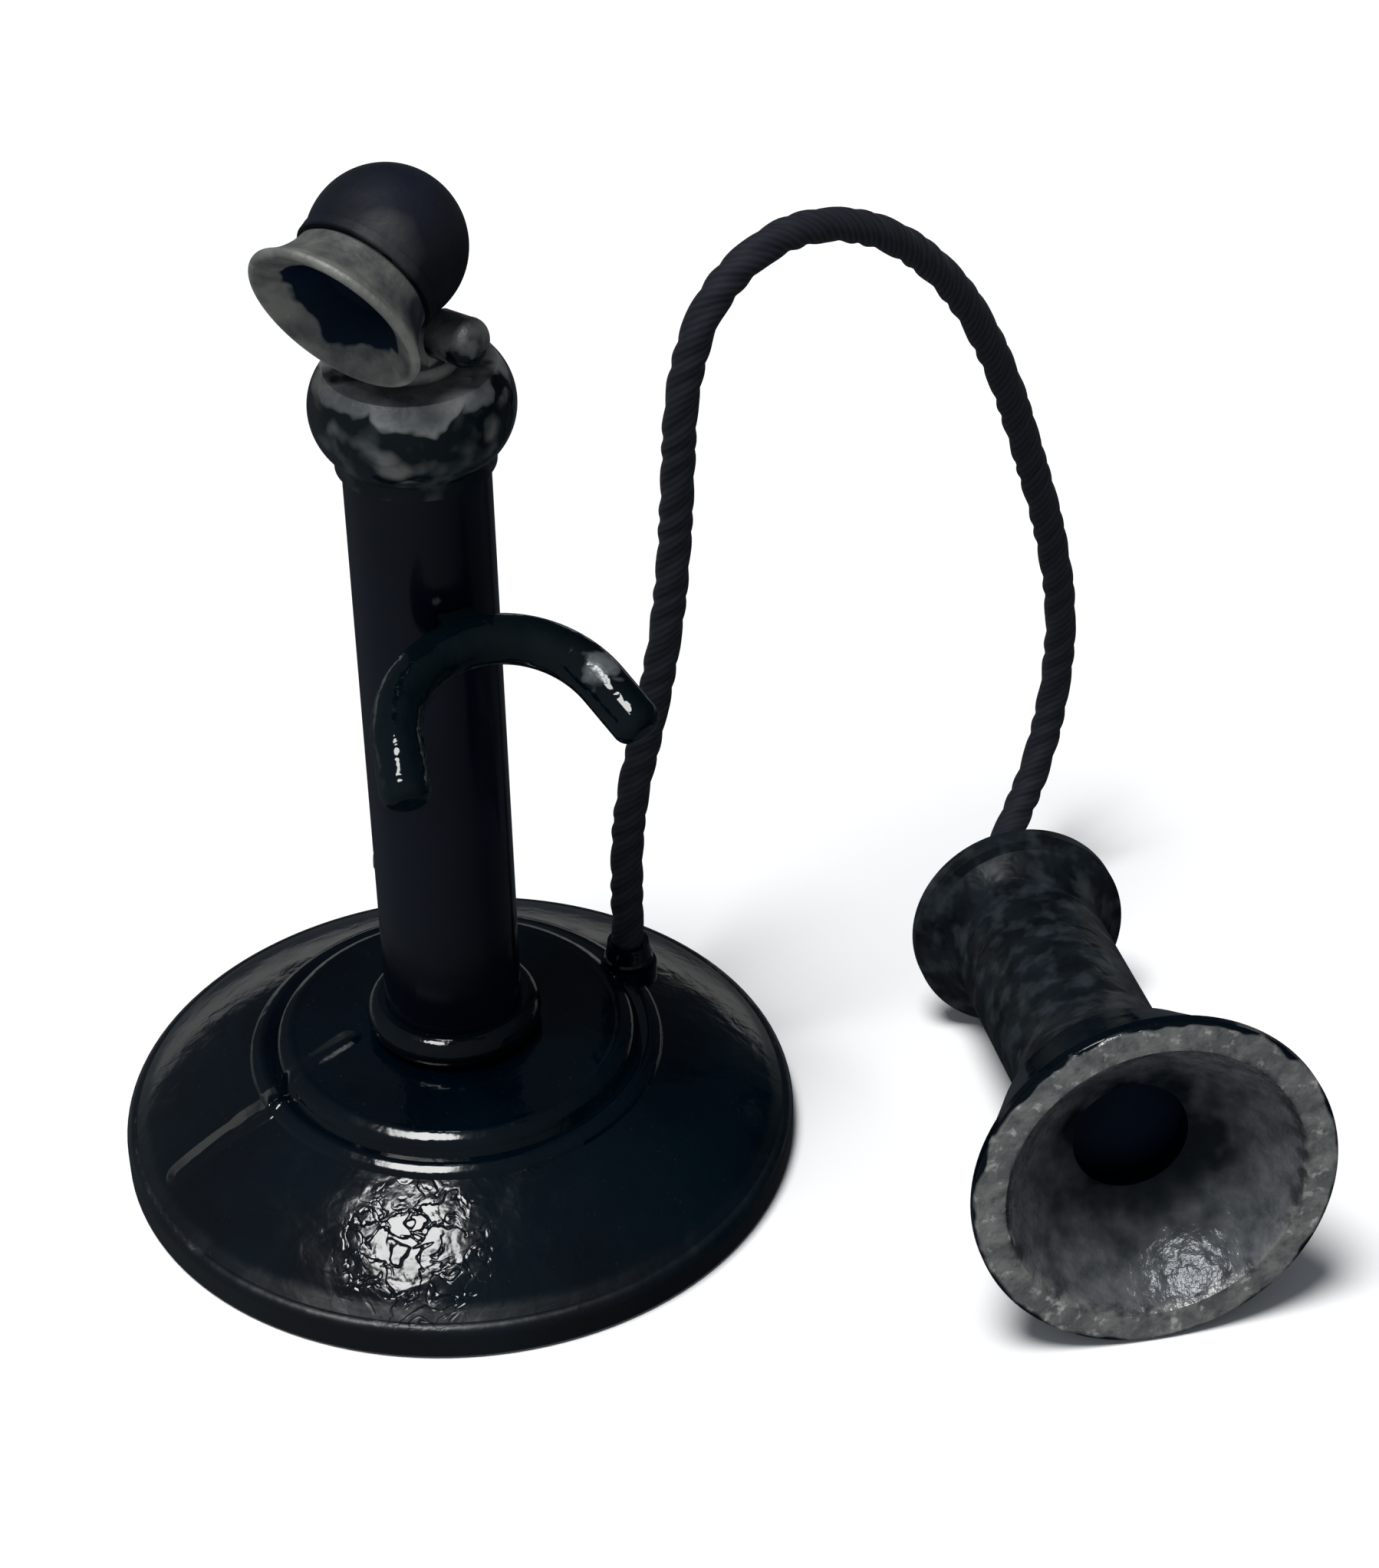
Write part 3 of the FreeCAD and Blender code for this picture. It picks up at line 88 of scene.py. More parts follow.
class Bare(Enum):
    """Where a rubbed casting shows bare metal besides its rubbed spots.

    In its dish, past a height on its axis, all round its flare, or nowhere else.
    """

    DISH = "dish"
    TOP = "top"
    FLARE = "flare"
    NOWHERE = "nowhere"


class Kind(Enum):
    """The kinds of node that the finishes and the room are made of."""

    BACKGROUND = "ShaderNodeBackground"
    BUMP = "ShaderNodeBump"
    CLAMP = "ShaderNodeClamp"
    COORDS = "ShaderNodeTexCoord"
    MAPPING = "ShaderNodeMapping"
    MATH = "ShaderNodeMath"
    MIX = "ShaderNodeMix"
    NOISE = "ShaderNodeTexNoise"
    OUTPUT = "ShaderNodeOutputMaterial"
    PARTS = "ShaderNodeSeparateXYZ"
    RANGE = "ShaderNodeMapRange"
    SHADER = "ShaderNodeBsdfPrincipled"
    VECTOR = "ShaderNodeVectorMath"
    WAVE = "ShaderNodeTexWave"
    WORLD = "ShaderNodeOutputWorld"


def linear(code: str) -> tuple[float, float, float, float]:
    """Turns an sRGB hex code into linear colour.

    Args:
        code: six hex digits with a leading hash.

    Returns:
        Linear red, green and blue, with an alpha of 1.
    """
    parts = [int(code[i:i + 2], 16) / 255 for i in (1, 3, 5)]
    flat = [p / 12.92 if p <= 0.04045 else ((p + 0.055) / 1.055) ** 2.4 for p in parts]
    return flat[0], flat[1], flat[2], 1.0


def per_mm(size_mm: float) -> float:
    """Gives the texture scale whose features are size_mm across in object space."""
    return 1.0 / (size_mm * MM)


def link(tree: Tree, node: Node, sources: dict[Any, Source]) -> None:
    """Feeds a node's inputs, in place of what fed them before.

    Args:
        tree: the node tree.
        node: the node to feed.
        sources: input sockets, by name or index, and what feeds each.
    """
    for key, source in sources.items():
        if isinstance(source, Node):
            source = next(output for output in source.outputs if output.enabled)
        tree.links.new(source, node.inputs[key])


def add(tree: Tree, kind: Kind, settings: dict[Any, Any] | None = None,
        links: dict[Any, Source] | None = None) -> Node:
    """Adds one node, sets it and links its inputs.

    Args:
        tree: the node tree to add to.
        kind: the kind of node.
        settings: node fields or input sockets, by name or index, and their values. A range's From and To
            are pairs, and a hex code is set as its linear colour.
        links: input sockets, by name or index, and what feeds each.

    Returns:
        The new node.
    """
    node = tree.nodes.new(kind.value)
    for key, value in (settings or {}).items():
        if key in ("From", "To"):
            node.inputs[f"{key} Min"].default_value, node.inputs[f"{key} Max"].default_value = value
        elif isinstance(key, str) and hasattr(node, key):
            setattr(node, key, value)
        else:
            node.inputs[key].default_value = linear(value) if isinstance(value, str) else value
    link(tree, node, links or {})
    return node


def stack(tree: Tree, layers: list[tuple[float, Source]], below: Source | None = None) -> Source:
    """Lays paint on paint and adds up its height.

    Args:
        tree: the node tree.
        layers: the height of each layer in millimetres and its shape, from 0 to 1.
        below: the height that the layers lie on, if any.

    Returns:
        The height of the whole in millimetres.
    """
    for rise, shape in layers:
        links = {0: shape} if below is None else {0: shape, 2: below}
        below = add(tree, Kind.MATH, {"operation": "MULTIPLY_ADD", 1: rise, 2: 0.0}, links)
    return below


def from_line(tree: Tree, place: Source, start: Point, end: Point) -> Source:
    """Measures how far a place is from a straight stroke.

    Args:
        tree: the node tree.
        place: object coordinates.
        start: where the stroke starts.
        end: where it ends.

    Returns:
        The distance in metres.
    """
    stroke = Vector(end) - Vector(start)
    ahead = tuple(stroke.normalized())
    off = add(tree, Kind.VECTOR, {"operation": "SUBTRACT", 1: start}, {0: place})
    along = add(tree, Kind.VECTOR, {"operation": "DOT_PRODUCT", 1: ahead}, {0: off})
    held = add(tree, Kind.CLAMP, {"Max": stroke.length}, {"Value": along})
    nearest = add(tree, Kind.VECTOR, {"operation": "SCALE", 0: ahead}, {"Scale": held})
    return add(tree, Kind.VECTOR, {"operation": "DISTANCE"}, {0: off, 1: nearest})


@dataclass(frozen=True)
class Spot:
    """A spot or a streak on a surface: where it lies, how far it reaches and how soft and strong it is."""

    centre: Point
    reach: float
    blur: float = 0.0008
    strength: float = 1.0
    end: Point | None = None

    def away(self, tree: Tree, place: Source) -> Source:
        """Measures from the spot's middle, or from the streak's line if it has an end.

        Args:
            tree: the node tree.
            place: object coordinates.

        Returns:
            The distance in metres.
        """
        if self.end is not None:
            return from_line(tree, place, self.centre, self.end)
        return add(tree, Kind.VECTOR, {"operation": "DISTANCE", 1: self.centre}, {0: place})


@dataclass(frozen=True)
class PaintRun:
    """A sag that ran in the paint: a soft ridge between two points of the surface."""

    start: Point
    end: Point
    half_width: float
    height_mm: float

    def away(self, tree: Tree, place: Source, _outward: Source) -> Source:
        """Measures from the line of the run."""
        return from_line(tree, place, self.start, self.end)


@dataclass(frozen=True)
class PaintRing:
    """A ring round the upright axis where thick paint fills the turn of an edge and leaves it flatter."""

    radius: float
    half_width: float
    height_mm: float

    def away(self, tree: Tree, _place: Source, outward: Source) -> Source:
        """Measures from the circle of the ring."""
        off = add(tree, Kind.MATH, {"operation": "SUBTRACT", 1: self.radius}, {0: outward})
        return add(tree, Kind.MATH, {"operation": "ABSOLUTE"}, {0: off})


@dataclass(frozen=True)
class Wrinkle:
    """A patch where thick paint drew up into creases as it dried. Round it the lumps are calmer."""

    patch: Spot
    crease_mm: float = 5.0
    crease_depth_mm: float = 0.15
    crease_share: float = 0.06
    calm: float = 0.55

    def draw_up(self, tree: Tree, place: Source, lumps: Source) -> Source:
        """Calms the lumps outside the patch and creases them inside it.

        Args:
            tree: the node tree.
            place: object coordinates.
            lumps: the height of the lumps in millimetres.

        Returns:
            The height of lumps and creases in millimetres.
        """
        inside = add(
            tree, Kind.RANGE, {"From": (self.patch.reach, self.patch.reach - self.patch.blur)},
            {"Value": self.patch.away(tree, place)})
        kept = add(tree, Kind.RANGE, {"To Min": self.calm}, {"Value": inside})
        calmed = add(tree, Kind.MATH, {"operation": "MULTIPLY"}, {0: lumps, 1: kept})
        folds = add(
            tree, Kind.NOISE, {"Scale": per_mm(self.crease_mm), "Detail": 1.5, "Distortion": 1.2},
            {"Vector": place})
        # A crease runs wherever the noise passes through its middle value.
        level = add(tree, Kind.MATH, {"operation": "SUBTRACT", 1: 0.5}, {0: folds})
        apart = add(tree, Kind.MATH, {"operation": "ABSOLUTE"}, {0: level})
        crease = add(tree, Kind.RANGE, {"From Max": self.crease_share}, {"Value": apart})
        shown = add(tree, Kind.MATH, {"operation": "MULTIPLY"}, {0: crease, 1: inside})
        return stack(tree, [(self.crease_depth_mm, shown)], calmed)


@dataclass(frozen=True)
class Finish:
    """A finish, which makes its own material."""

    name: str

    def make(self) -> Material:
        """Builds the material and paints its shader.

        Returns:
            The material.
        """
        material = bpy.data.materials.new(self.name)
        material.use_nodes = True
        tree = material.node_tree
        tree.nodes.clear()
        shader = add(tree, Kind.SHADER)
        add(tree, Kind.OUTPUT, links={"Surface": shader})
        self.paint(tree, shader)
        return material

    def paint(self, tree: Tree, shader: Node) -> None:
        """Paints the shader, each finish in its own way."""
        raise NotImplementedError(self.name)


@dataclass(frozen=True)
class Enamel(Finish):
    """Black stove enamel, brushed thick over a rough casting.

    The eye gets a near-black with a cold teal depth, a wet gloss broken up by the lumps that the brush
    and the casting leave, and a little dust lying on it. Heights and feature sizes are real millimetres.
    """

    deep: str
    tint: str
    dust: str = "#3a3d3e"
    dust_cover: float = 0.25
    dust_from: float = 0.70
    dust_soft: float = 0.10
    ior: float = 1.34
    gloss: float = 0.07
    dull: float = 0.17
    smear_span: Span = (0.42, 0.68)
    rim_from: float = 1.0
    rim_blur: float = 0.002
    rim_dull: float = 0.0
    swell_mm: float = 17.0
    swell_height_mm: float = 0.55
    lump_mm: float = 3.0
    lump_height_mm: float = 0.20
    lump_fold: float = 0.7
    peel_mm: float = 1.3
    peel_height_mm: float = 0.04
    cloud_mm: float = 38.0
    smear_mm: float = 14.0
    speck_mm: float = 0.9
    wrinkle: Wrinkle | None = None
    flow: tuple[PaintRun | PaintRing, ...] = ()

    def paint(self, tree: Tree, shader: Node) -> None:
        """Gives the shader the enamel's colour, gloss and lumps.

        Args:
            tree: the node tree.
            shader: the principled node.
        """
        place = add(tree, Kind.COORDS).outputs["Object"]
        level = add(tree, Kind.VECTOR, {"operation": "MULTIPLY", 1: (1.0, 1.0, 0.0)}, {0: place})
        outward = add(tree, Kind.VECTOR, {"operation": "LENGTH"}, {0: level})
        bump = add(tree, Kind.BUMP, {"Distance": MM}, {"Height": self.relief(tree, place, outward)})
        shader.inputs["IOR"].default_value = self.ior
        link(tree, shader, {"Base Color": self.colour(tree, place), "Normal": bump,
                            "Roughness": self.sheen(tree, place, outward)})

    def colour(self, tree: Tree, place: Source) -> Source:
        """Clouds the enamel's two tones and lays dust on them.

        Args:
            tree: the node tree.
            place: object coordinates.

        Returns:
            The colour.
        """
        cloud = add(tree, Kind.NOISE, {"Scale": per_mm(self.cloud_mm), "Detail": 3.0}, {"Vector": place})
        spread = add(tree, Kind.RANGE, {"From": NOISE_SPAN}, {"Value": cloud})
        coat = add(tree, Kind.MIX, {"data_type": "RGBA", FIRST: self.deep, SECOND: self.tint}, {0: spread})
        speck = add(tree, Kind.NOISE, {"Scale": per_mm(self.speck_mm), "Detail": 2.0}, {"Vector": place})
        dusty = add(
            tree, Kind.RANGE,
            {"From": (self.dust_from, self.dust_from + self.dust_soft), "To Max": self.dust_cover},
            {"Value": speck})
        return add(tree, Kind.MIX, {"data_type": "RGBA", SECOND: self.dust}, {0: dusty, FIRST: coat})

    def sheen(self, tree: Tree, place: Source, outward: Source) -> Source:
        """Smears the enamel's gloss, and dulls it past a radius where a rim is rubbed.

        Args:
            tree: the node tree.
            place: object coordinates.
            outward: the distance from the upright axis.

        Returns:
            The roughness.
        """
        smear = add(
            tree, Kind.NOISE, {"Scale": per_mm(self.smear_mm), "Detail": 4.0, "Distortion": 1.2},
            {"Vector": place})
        smeared = add(
            tree, Kind.RANGE, {"From": self.smear_span, "To": (self.gloss, self.dull)}, {"Value": smear})
        if self.rim_dull == 0:
            return smeared
        rim = add(
            tree, Kind.RANGE,
            {"From": (self.rim_from, self.rim_from + self.rim_blur), "To Max": self.rim_dull},
            {"Value": outward})
        return add(tree, Kind.MATH, {"operation": "ADD"}, {0: smeared, 1: rim})

    def relief(self, tree: Tree, place: Source, outward: Source) -> Source:
        """Adds up the lumps, orange peel, creases, swells, runs and rings of the paint.

        Args:
            tree: the node tree.
            place: object coordinates.
            outward: the distance from the upright axis.

        Returns:
            The height in millimetres.
        """
        shapes = []
        for size, fold in ((self.lump_mm, self.lump_fold), (self.peel_mm, 0.0), (self.swell_mm, 0.0)):
            settings = {"Scale": per_mm(size), "Detail": 1.5, "Distortion": fold}
            shapes.append(add(tree, Kind.NOISE, settings, {"Vector": place}))
        lump, peel, swell = shapes
        height = stack(tree, [(self.lump_height_mm, lump), (self.peel_height_mm, peel)])
        if self.wrinkle is not None:
            height = self.wrinkle.draw_up(tree, place, height)
        layers = [(self.swell_height_mm, swell)]
        for mark in self.flow:
            settings = {"interpolation_type": "SMOOTHSTEP", "From": (mark.half_width, 0.0)}
            away = mark.away(tree, place, outward)
            layers.append((mark.height_mm, add(tree, Kind.RANGE, settings, {"Value": away})))
        return stack(tree, layers, height)


@dataclass(frozen=True)
class Grained(Finish):
    """A plain material, mottled between two tones, with a grain in its gloss and its surface.

    A real grain would be too fine to show, so it is drawn coarser.
    """

    colour: str
    shade: str
    roughness: float = 0.32
    spread: float = 0.3
    grain_mm: float = 0.6
    grain_height_mm: float = 0.01
    grain_detail: float = 4.0
    mottle_mm: float = 9.0
    metallic: float = 0.0

    def paint(self, tree: Tree, shader: Node) -> None:
        """Gives the shader its tones and its grain.

        Args:
            tree: the node tree.
            shader: the principled node.
        """
        place = add(tree, Kind.COORDS).outputs["Object"]
        grain = add(
            tree, Kind.NOISE, {"Scale": per_mm(self.grain_mm), "Detail": self.grain_detail},
            {"Vector": place})
        mottle = add(tree, Kind.NOISE, {"Scale": per_mm(self.mottle_mm), "Detail": 3.0}, {"Vector": place})
        tone = add(
            tree, Kind.MIX, {"data_type": "RGBA", FIRST: self.colour, SECOND: self.shade}, {0: mottle})
        rough = add(
            tree, Kind.RANGE,
            {"To": (self.roughness * (1 - self.spread), self.roughness * (1 + self.spread))},
            {"Value": grain})
        bump = add(tree, Kind.BUMP, {"Distance": self.grain_height_mm * MM}, {"Height": grain})
        shader.inputs["Metallic"].default_value = self.metallic
        link(tree, shader, {"Base Color": tone, "Roughness": rough, "Normal": bump})


@dataclass(frozen=True)
class Metal(Grained):
    """A plain metal, rolled, drawn or turned: the eye gets its own gleam, softened by fine lines."""

    metallic: float = 1.0


@dataclass(frozen=True)
class Moulded(Grained):
    """A moulded, pressed or fibrous non-metal: the eye gets a mottled, matt colour with a fine tooth."""

    roughness: float = 0.55
    spread: float = 0.2
    grain_mm: float = 0.5
    grain_height_mm: float = 0.03
    grain_detail: float = 3.0
    mottle_mm: float = 6.0


@dataclass(frozen=True)
class WornLip:
    """The lip of a rubbed casting: paler than the rest, with dark flecks, near-white flecks that are partly
    painted glints, and a dark seam where it crumbles.
    """

    start: float
    metal: str
    stain: float
    stain_span: Span = (0.4, 0.6)
    blur: float = 0.0005
    wander: float = 0.0
    seam: float = 0.0
    seam_width: float = 0.0014
    seam_span: Span = (0.46, 0.58)
    flecks: float = 0.0
    fleck_mm: float = 3.4
    # Near-white flecks: partly bright grains of bare metal, partly painted glints.
    bright: str = "#d6d5cf"
    grain_and_glint_span: Span = (0.57, 0.70)
    dark: str = "#26282a"
    dark_span: Span = (0.44, 0.30)

    def tone(self, tree: Tree, place: Source, away: Source, grit: Source, blotch: Source, inner: Source,
             shade: str) -> Source:
        """Colours the lip, its flecks and its seam.

        Args:
            tree: the node tree.
            place: object coordinates.
            away: the distance out from the casting's axis.
            grit: the casting's fine noise, by which the lip's edge wanders.
            blotch: the casting's coarse noise, which stains the lip and breaks its seam.
            inner: the colour of the metal inside the lip.
            shade: the stain's colour.

        Returns:
            The colour of the bare metal, lip and all.
        """
        moved = add(tree, Kind.MATH, {"operation": "MULTIPLY_ADD", 1: self.wander}, {0: grit, 2: away})
        edge = self.start + self.wander / 2
        on_lip = add(tree, Kind.RANGE, {"From": (edge - self.blur, edge + self.blur)}, {"Value": moved})
        stain = add(tree, Kind.RANGE, {"From": self.stain_span, "To Max": self.stain}, {"Value": blotch})
        lip = add(tree, Kind.MIX, {"data_type": "RGBA", FIRST: self.metal, SECOND: shade}, {0: stain})
        tone = add(tree, Kind.MIX, {"data_type": "RGBA"}, {0: on_lip, FIRST: inner, SECOND: lip})
        marks = []
        if self.flecks > 0:
            fleck = add(
                tree, Kind.NOISE, {"Scale": per_mm(self.fleck_mm), "Detail": 5.0, "Roughness": 0.6},
                {"Vector": place})
            # Near-white flecks, partly painted glints, and dark chips.
            for colour, span in ((self.bright, self.grain_and_glint_span), (self.dark, self.dark_span)):
                shown = add(tree, Kind.RANGE, {"From": span, "To Max": self.flecks}, {"Value": fleck})
                marks.append((colour, shown, on_lip))
        if self.seam > 0:
            off = add(tree, Kind.MATH, {"operation": "SUBTRACT", 1: edge}, {0: moved})
            apart = add(tree, Kind.MATH, {"operation": "ABSOLUTE"}, {0: off})
            crack = add(
                tree, Kind.RANGE, {"From": (self.seam_width, 0.0), "To Max": self.seam}, {"Value": apart})
            broken = add(tree, Kind.RANGE, {"From": self.seam_span}, {"Value": blotch})
            marks.append((self.dark, crack, broken))
        for colour, shown, where in marks:
            there = add(tree, Kind.MATH, {"operation": "MULTIPLY"}, {0: shown, 1: where})
            tone = add(tree, Kind.MIX, {"data_type": "RGBA", SECOND: colour}, {0: there, FIRST: tone})
        return tone


@dataclass(frozen=True)
class RubbedCasting(Finish):
    """Enamelled white-metal casting, rubbed through to the grey metal.

    The eye gets a dull, gritty pewter grey where fingers and breath wore the enamel off, a ragged edge
    where the enamel starts again, and bright grains along the lip, which are partly painted glints. Along
    its axis or out from it, the bare metal starts, is full and stops at three distances.
    """

    bare: Bare
    enamel: Enamel
    metal: str
    shade: str
    centre: Point = (0.0, 0.0, 0.0)
    axis: Point = (0.0, 0.0, 1.0)
    start: float = 0.0
    full: float = 0.001
    stop: float = 1.0
    stop_blur: float = 0.0006
    chip_share: float = 0.25
    facing: Span = (0.02, 0.12)
    spots: tuple[Spot, ...] = ()
    spared: tuple[Spot, ...] = ()
    lip: WornLip | None = None
    roughness: float = 0.45
    spread: float = 0.25
    metallic: float = 0.4
    grit_mm: float = 1.3
    grit_height_mm: float = 0.2
    blotch_mm: float = 9.0
    ragged_mm: float = 9.0
    ragged_span: Span = (0.3, 0.7)
    ragged_depth: float = 0.004

    def paint(self, tree: Tree, shader: Node) -> None:
        """Enamels the shader and rubs it through.

        Args:
            tree: the node tree.
            shader: the principled node.
        """
        self.enamel.paint(tree, shader)
        coords = add(tree, Kind.COORDS)
        away = None if self.bare is Bare.NOWHERE else self.distance(tree, coords.outputs["Object"])
        rubbed = self.rub(tree, coords, away)
        self.wear(tree, shader, coords.outputs["Object"], rubbed, away)

    def distance(self, tree: Tree, place: Source) -> Source:
        """Measures along the casting's axis for a top, or out from it for a dish or a flare.

        Args:
            tree: the node tree.
            place: object coordinates.

        Returns:
            The distance in metres.
        """
        off = add(tree, Kind.VECTOR, {"operation": "SUBTRACT", 1: self.centre}, {0: place})
        along = add(tree, Kind.VECTOR, {"operation": "DOT_PRODUCT", 1: self.axis}, {0: off})
        if self.bare is Bare.TOP:
            return along
        on_axis = add(tree, Kind.VECTOR, {"operation": "SCALE", 0: self.axis}, {"Scale": along})
        return add(tree, Kind.VECTOR, {"operation": "DISTANCE"}, {0: off, 1: on_axis})

    def rub(self, tree: Tree, coords: Node, away: Source | None) -> Source:
        """Says where the casting is rubbed, with ragged edges.

        Args:
            tree: the node tree.
            coords: the texture coordinates.
            away: the distance along or out from the axis, or nothing if only spots are bare.

        Returns:
            0 for whole enamel, 1 for bare metal.
        """
        place = coords.outputs["Object"]
        ragged = add(tree, Kind.NOISE, {"Scale": per_mm(self.ragged_mm), "Detail": 2.0}, {"Vector": place})
        shift = add(
            tree, Kind.RANGE, {"From": self.ragged_span, "To": (-self.ragged_depth, self.ragged_depth)},
            {"Value": ragged})
        rubbed = None if away is None else self.region(tree, coords, away, shift)
        for spot in self.spots + self.spared:
            keep = spot in self.spared
            edge = add(tree, Kind.MATH, {"operation": "ADD"}, {0: spot.away(tree, place), 1: shift})
            ends = (1.0, 1.0 - spot.strength) if keep else (0.0, spot.strength)
            inside = add(
                tree, Kind.RANGE, {"From": (spot.reach, spot.reach - spot.blur), "To": ends},
                {"Value": edge})
            rubbed = inside if rubbed is None else add(
                tree, Kind.MATH, {"operation": "MULTIPLY" if keep else "MAXIMUM"}, {0: rubbed, 1: inside})
        return rubbed

    def region(self, tree: Tree, coords: Node, away: Source, shift: Source) -> Source:
        """Says where the casting is bare, apart from its spots.

        Args:
            tree: the node tree.
            coords: the texture coordinates.
            away: the distance along or out from the axis.
            shift: how far the ragged edge wanders.

        Returns:
            0 for whole enamel, 1 for bare metal.
        """
        moved = add(tree, Kind.MATH, {"operation": "ADD"}, {0: away, 1: shift})
        worn = add(tree, Kind.RANGE, {"From": (self.start, self.full)}, {"Value": moved})
        if self.bare is not Bare.DISH:
            return worn
        facing = add(
            tree, Kind.VECTOR, {"operation": "DOT_PRODUCT", 1: self.axis}, {0: coords.outputs["Normal"]})
        front = add(tree, Kind.RANGE, {"From": self.facing}, {"Value": facing})
        chipped = add(
            tree, Kind.MATH, {"operation": "MULTIPLY_ADD", 1: self.chip_share}, {0: shift, 2: away})
        within = add(tree, Kind.RANGE, {"From": (self.stop, self.stop - self.stop_blur)}, {"Value": chipped})
        for limit in (front, within):
            worn = add(tree, Kind.MATH, {"operation": "MULTIPLY"}, {0: worn, 1: limit})
        return worn

    def wear(self, tree: Tree, shader: Node, place: Source, rubbed: Source, away: Source | None) -> None:
        """Mixes the bare metal into the enamel where it is rubbed.

        Args:
            tree: the node tree.
            shader: the principled node, already fed by the enamel.
            place: object coordinates.
            rubbed: 0 for whole enamel, 1 for bare metal.
            away: the distance along or out from the axis, which tells the lip from the rest.
        """
        grit, blotch = (add(tree, Kind.NOISE, {"Scale": per_mm(size), "Detail": 4.0}, {"Vector": place})
                        for size in (self.grit_mm, self.blotch_mm))
        mottle = add(tree, Kind.RANGE, {"From": NOISE_SPAN}, {"Value": blotch})
        metal = add(
            tree, Kind.MIX, {"data_type": "RGBA", FIRST: self.metal, SECOND: self.shade}, {0: mottle})
        if self.lip is not None:
            metal = self.lip.tone(tree, place, away, grit, blotch, metal, self.shade)
        colour, gloss, normal = (shader.inputs[name].links[0].from_socket
                                 for name in ("Base Color", "Roughness", "Normal"))
        tone = add(tree, Kind.MIX, {"data_type": "RGBA"}, {0: rubbed, FIRST: colour, SECOND: metal})
        dull = add(
            tree, Kind.RANGE,
            {"To": (self.roughness * (1 - self.spread), self.roughness * (1 + self.spread))},
            {"Value": grit})
        rough = add(tree, Kind.MIX, {"data_type": "FLOAT"}, {0: rubbed, 2: gloss, 3: dull})
        gritty = add(tree, Kind.MATH, {"operation": "MULTIPLY"}, {0: grit, 1: rubbed})
        bump = add(
            tree, Kind.BUMP, {"Distance": self.grit_height_mm * MM}, {"Height": gritty, "Normal": normal})
        share = add(tree, Kind.MATH, {"operation": "MULTIPLY", 1: self.metallic}, {0: rubbed})
        link(tree, shader, {"Base Color": tone, "Roughness": rough, "Normal": bump, "Metallic": share})


@dataclass(frozen=True)
class CordCotton(Finish):
    """Black cotton cord, spun in yarns and waxed.

    The eye gets a matte, slightly blue black, with the yarns of each strand as fine slanting ridges. Yarns
    and fibres are drawn coarser than real ones, which would be too fine to show.
    """

    name: str = "black_cotton_cord_twisted"
    deep: str = "#060910"
    worn: str = "#171d2f"
    yarn_mm: float = 1.4
    yarn_height_mm: float = 0.2
    yarn_relief: float = 0.35
    fibre_mm: float = 0.35
    fibre_share: float = 0.5
    slant: float = 0.9
    roughness: float = 0.8
    sheen: float = 0.02
    ior: float = 1.38

    def paint(self, tree: Tree, shader: Node) -> None:
        """Gives the shader its yarns and fibres.

        Args:
            tree: the node tree.
            shader: the principled node.
        """
        coords = add(tree, Kind.COORDS)
        lines = add(
            tree, Kind.MAPPING, {"Rotation": (0.0, 0.0, self.slant)}, {"Vector": coords.outputs["UV"]})
        yarn = add(
            tree, Kind.WAVE, {"Scale": WAVE_LENGTH * per_mm(self.yarn_mm), "Distortion": 1.5, "Detail": 2.0},
            {"Vector": lines})
        fibre = add(
            tree, Kind.NOISE, {"Scale": per_mm(self.fibre_mm), "Detail": 3.0},
            {"Vector": coords.outputs["Object"]})
        height = add(
            tree, Kind.MATH, {"operation": "MULTIPLY_ADD", 1: self.fibre_share}, {0: fibre, 2: yarn})
        wear = add(tree, Kind.MATH, {"operation": "MULTIPLY"}, {0: fibre, 1: yarn})
        tone = add(tree, Kind.MIX, {"data_type": "RGBA", FIRST: self.deep, SECOND: self.worn}, {0: wear})
        bump = add(
            tree, Kind.BUMP, {"Strength": self.yarn_relief, "Distance": self.yarn_height_mm * MM},
            {"Height": height})
        shader.inputs["Roughness"].default_value = self.roughness
        shader.inputs["Sheen Weight"].default_value = self.sheen
        shader.inputs["IOR"].default_value = self.ior
        link(tree, shader, {"Base Color": tone, "Normal": bump})


@dataclass(frozen=True)
class PaleFloor(Finish):
    """Matt white studio paper: the eye gets an even, pale ground with soft shadows."""

    name: str = "white_studio_paper"
    colour: str = "#f2f2f2"
    roughness: float = 0.9
    specular: float = 0.1

    def paint(self, _tree: Tree, shader: Node) -> None:
        """Gives the shader one even tone.

        Args:
            _tree: the node tree, not used.
            shader: the principled node.
        """
        shader.inputs["Base Color"].default_value = linear(self.colour)
        shader.inputs["Roughness"].default_value = self.roughness
        shader.inputs["Specular IOR Level"].default_value = self.specular


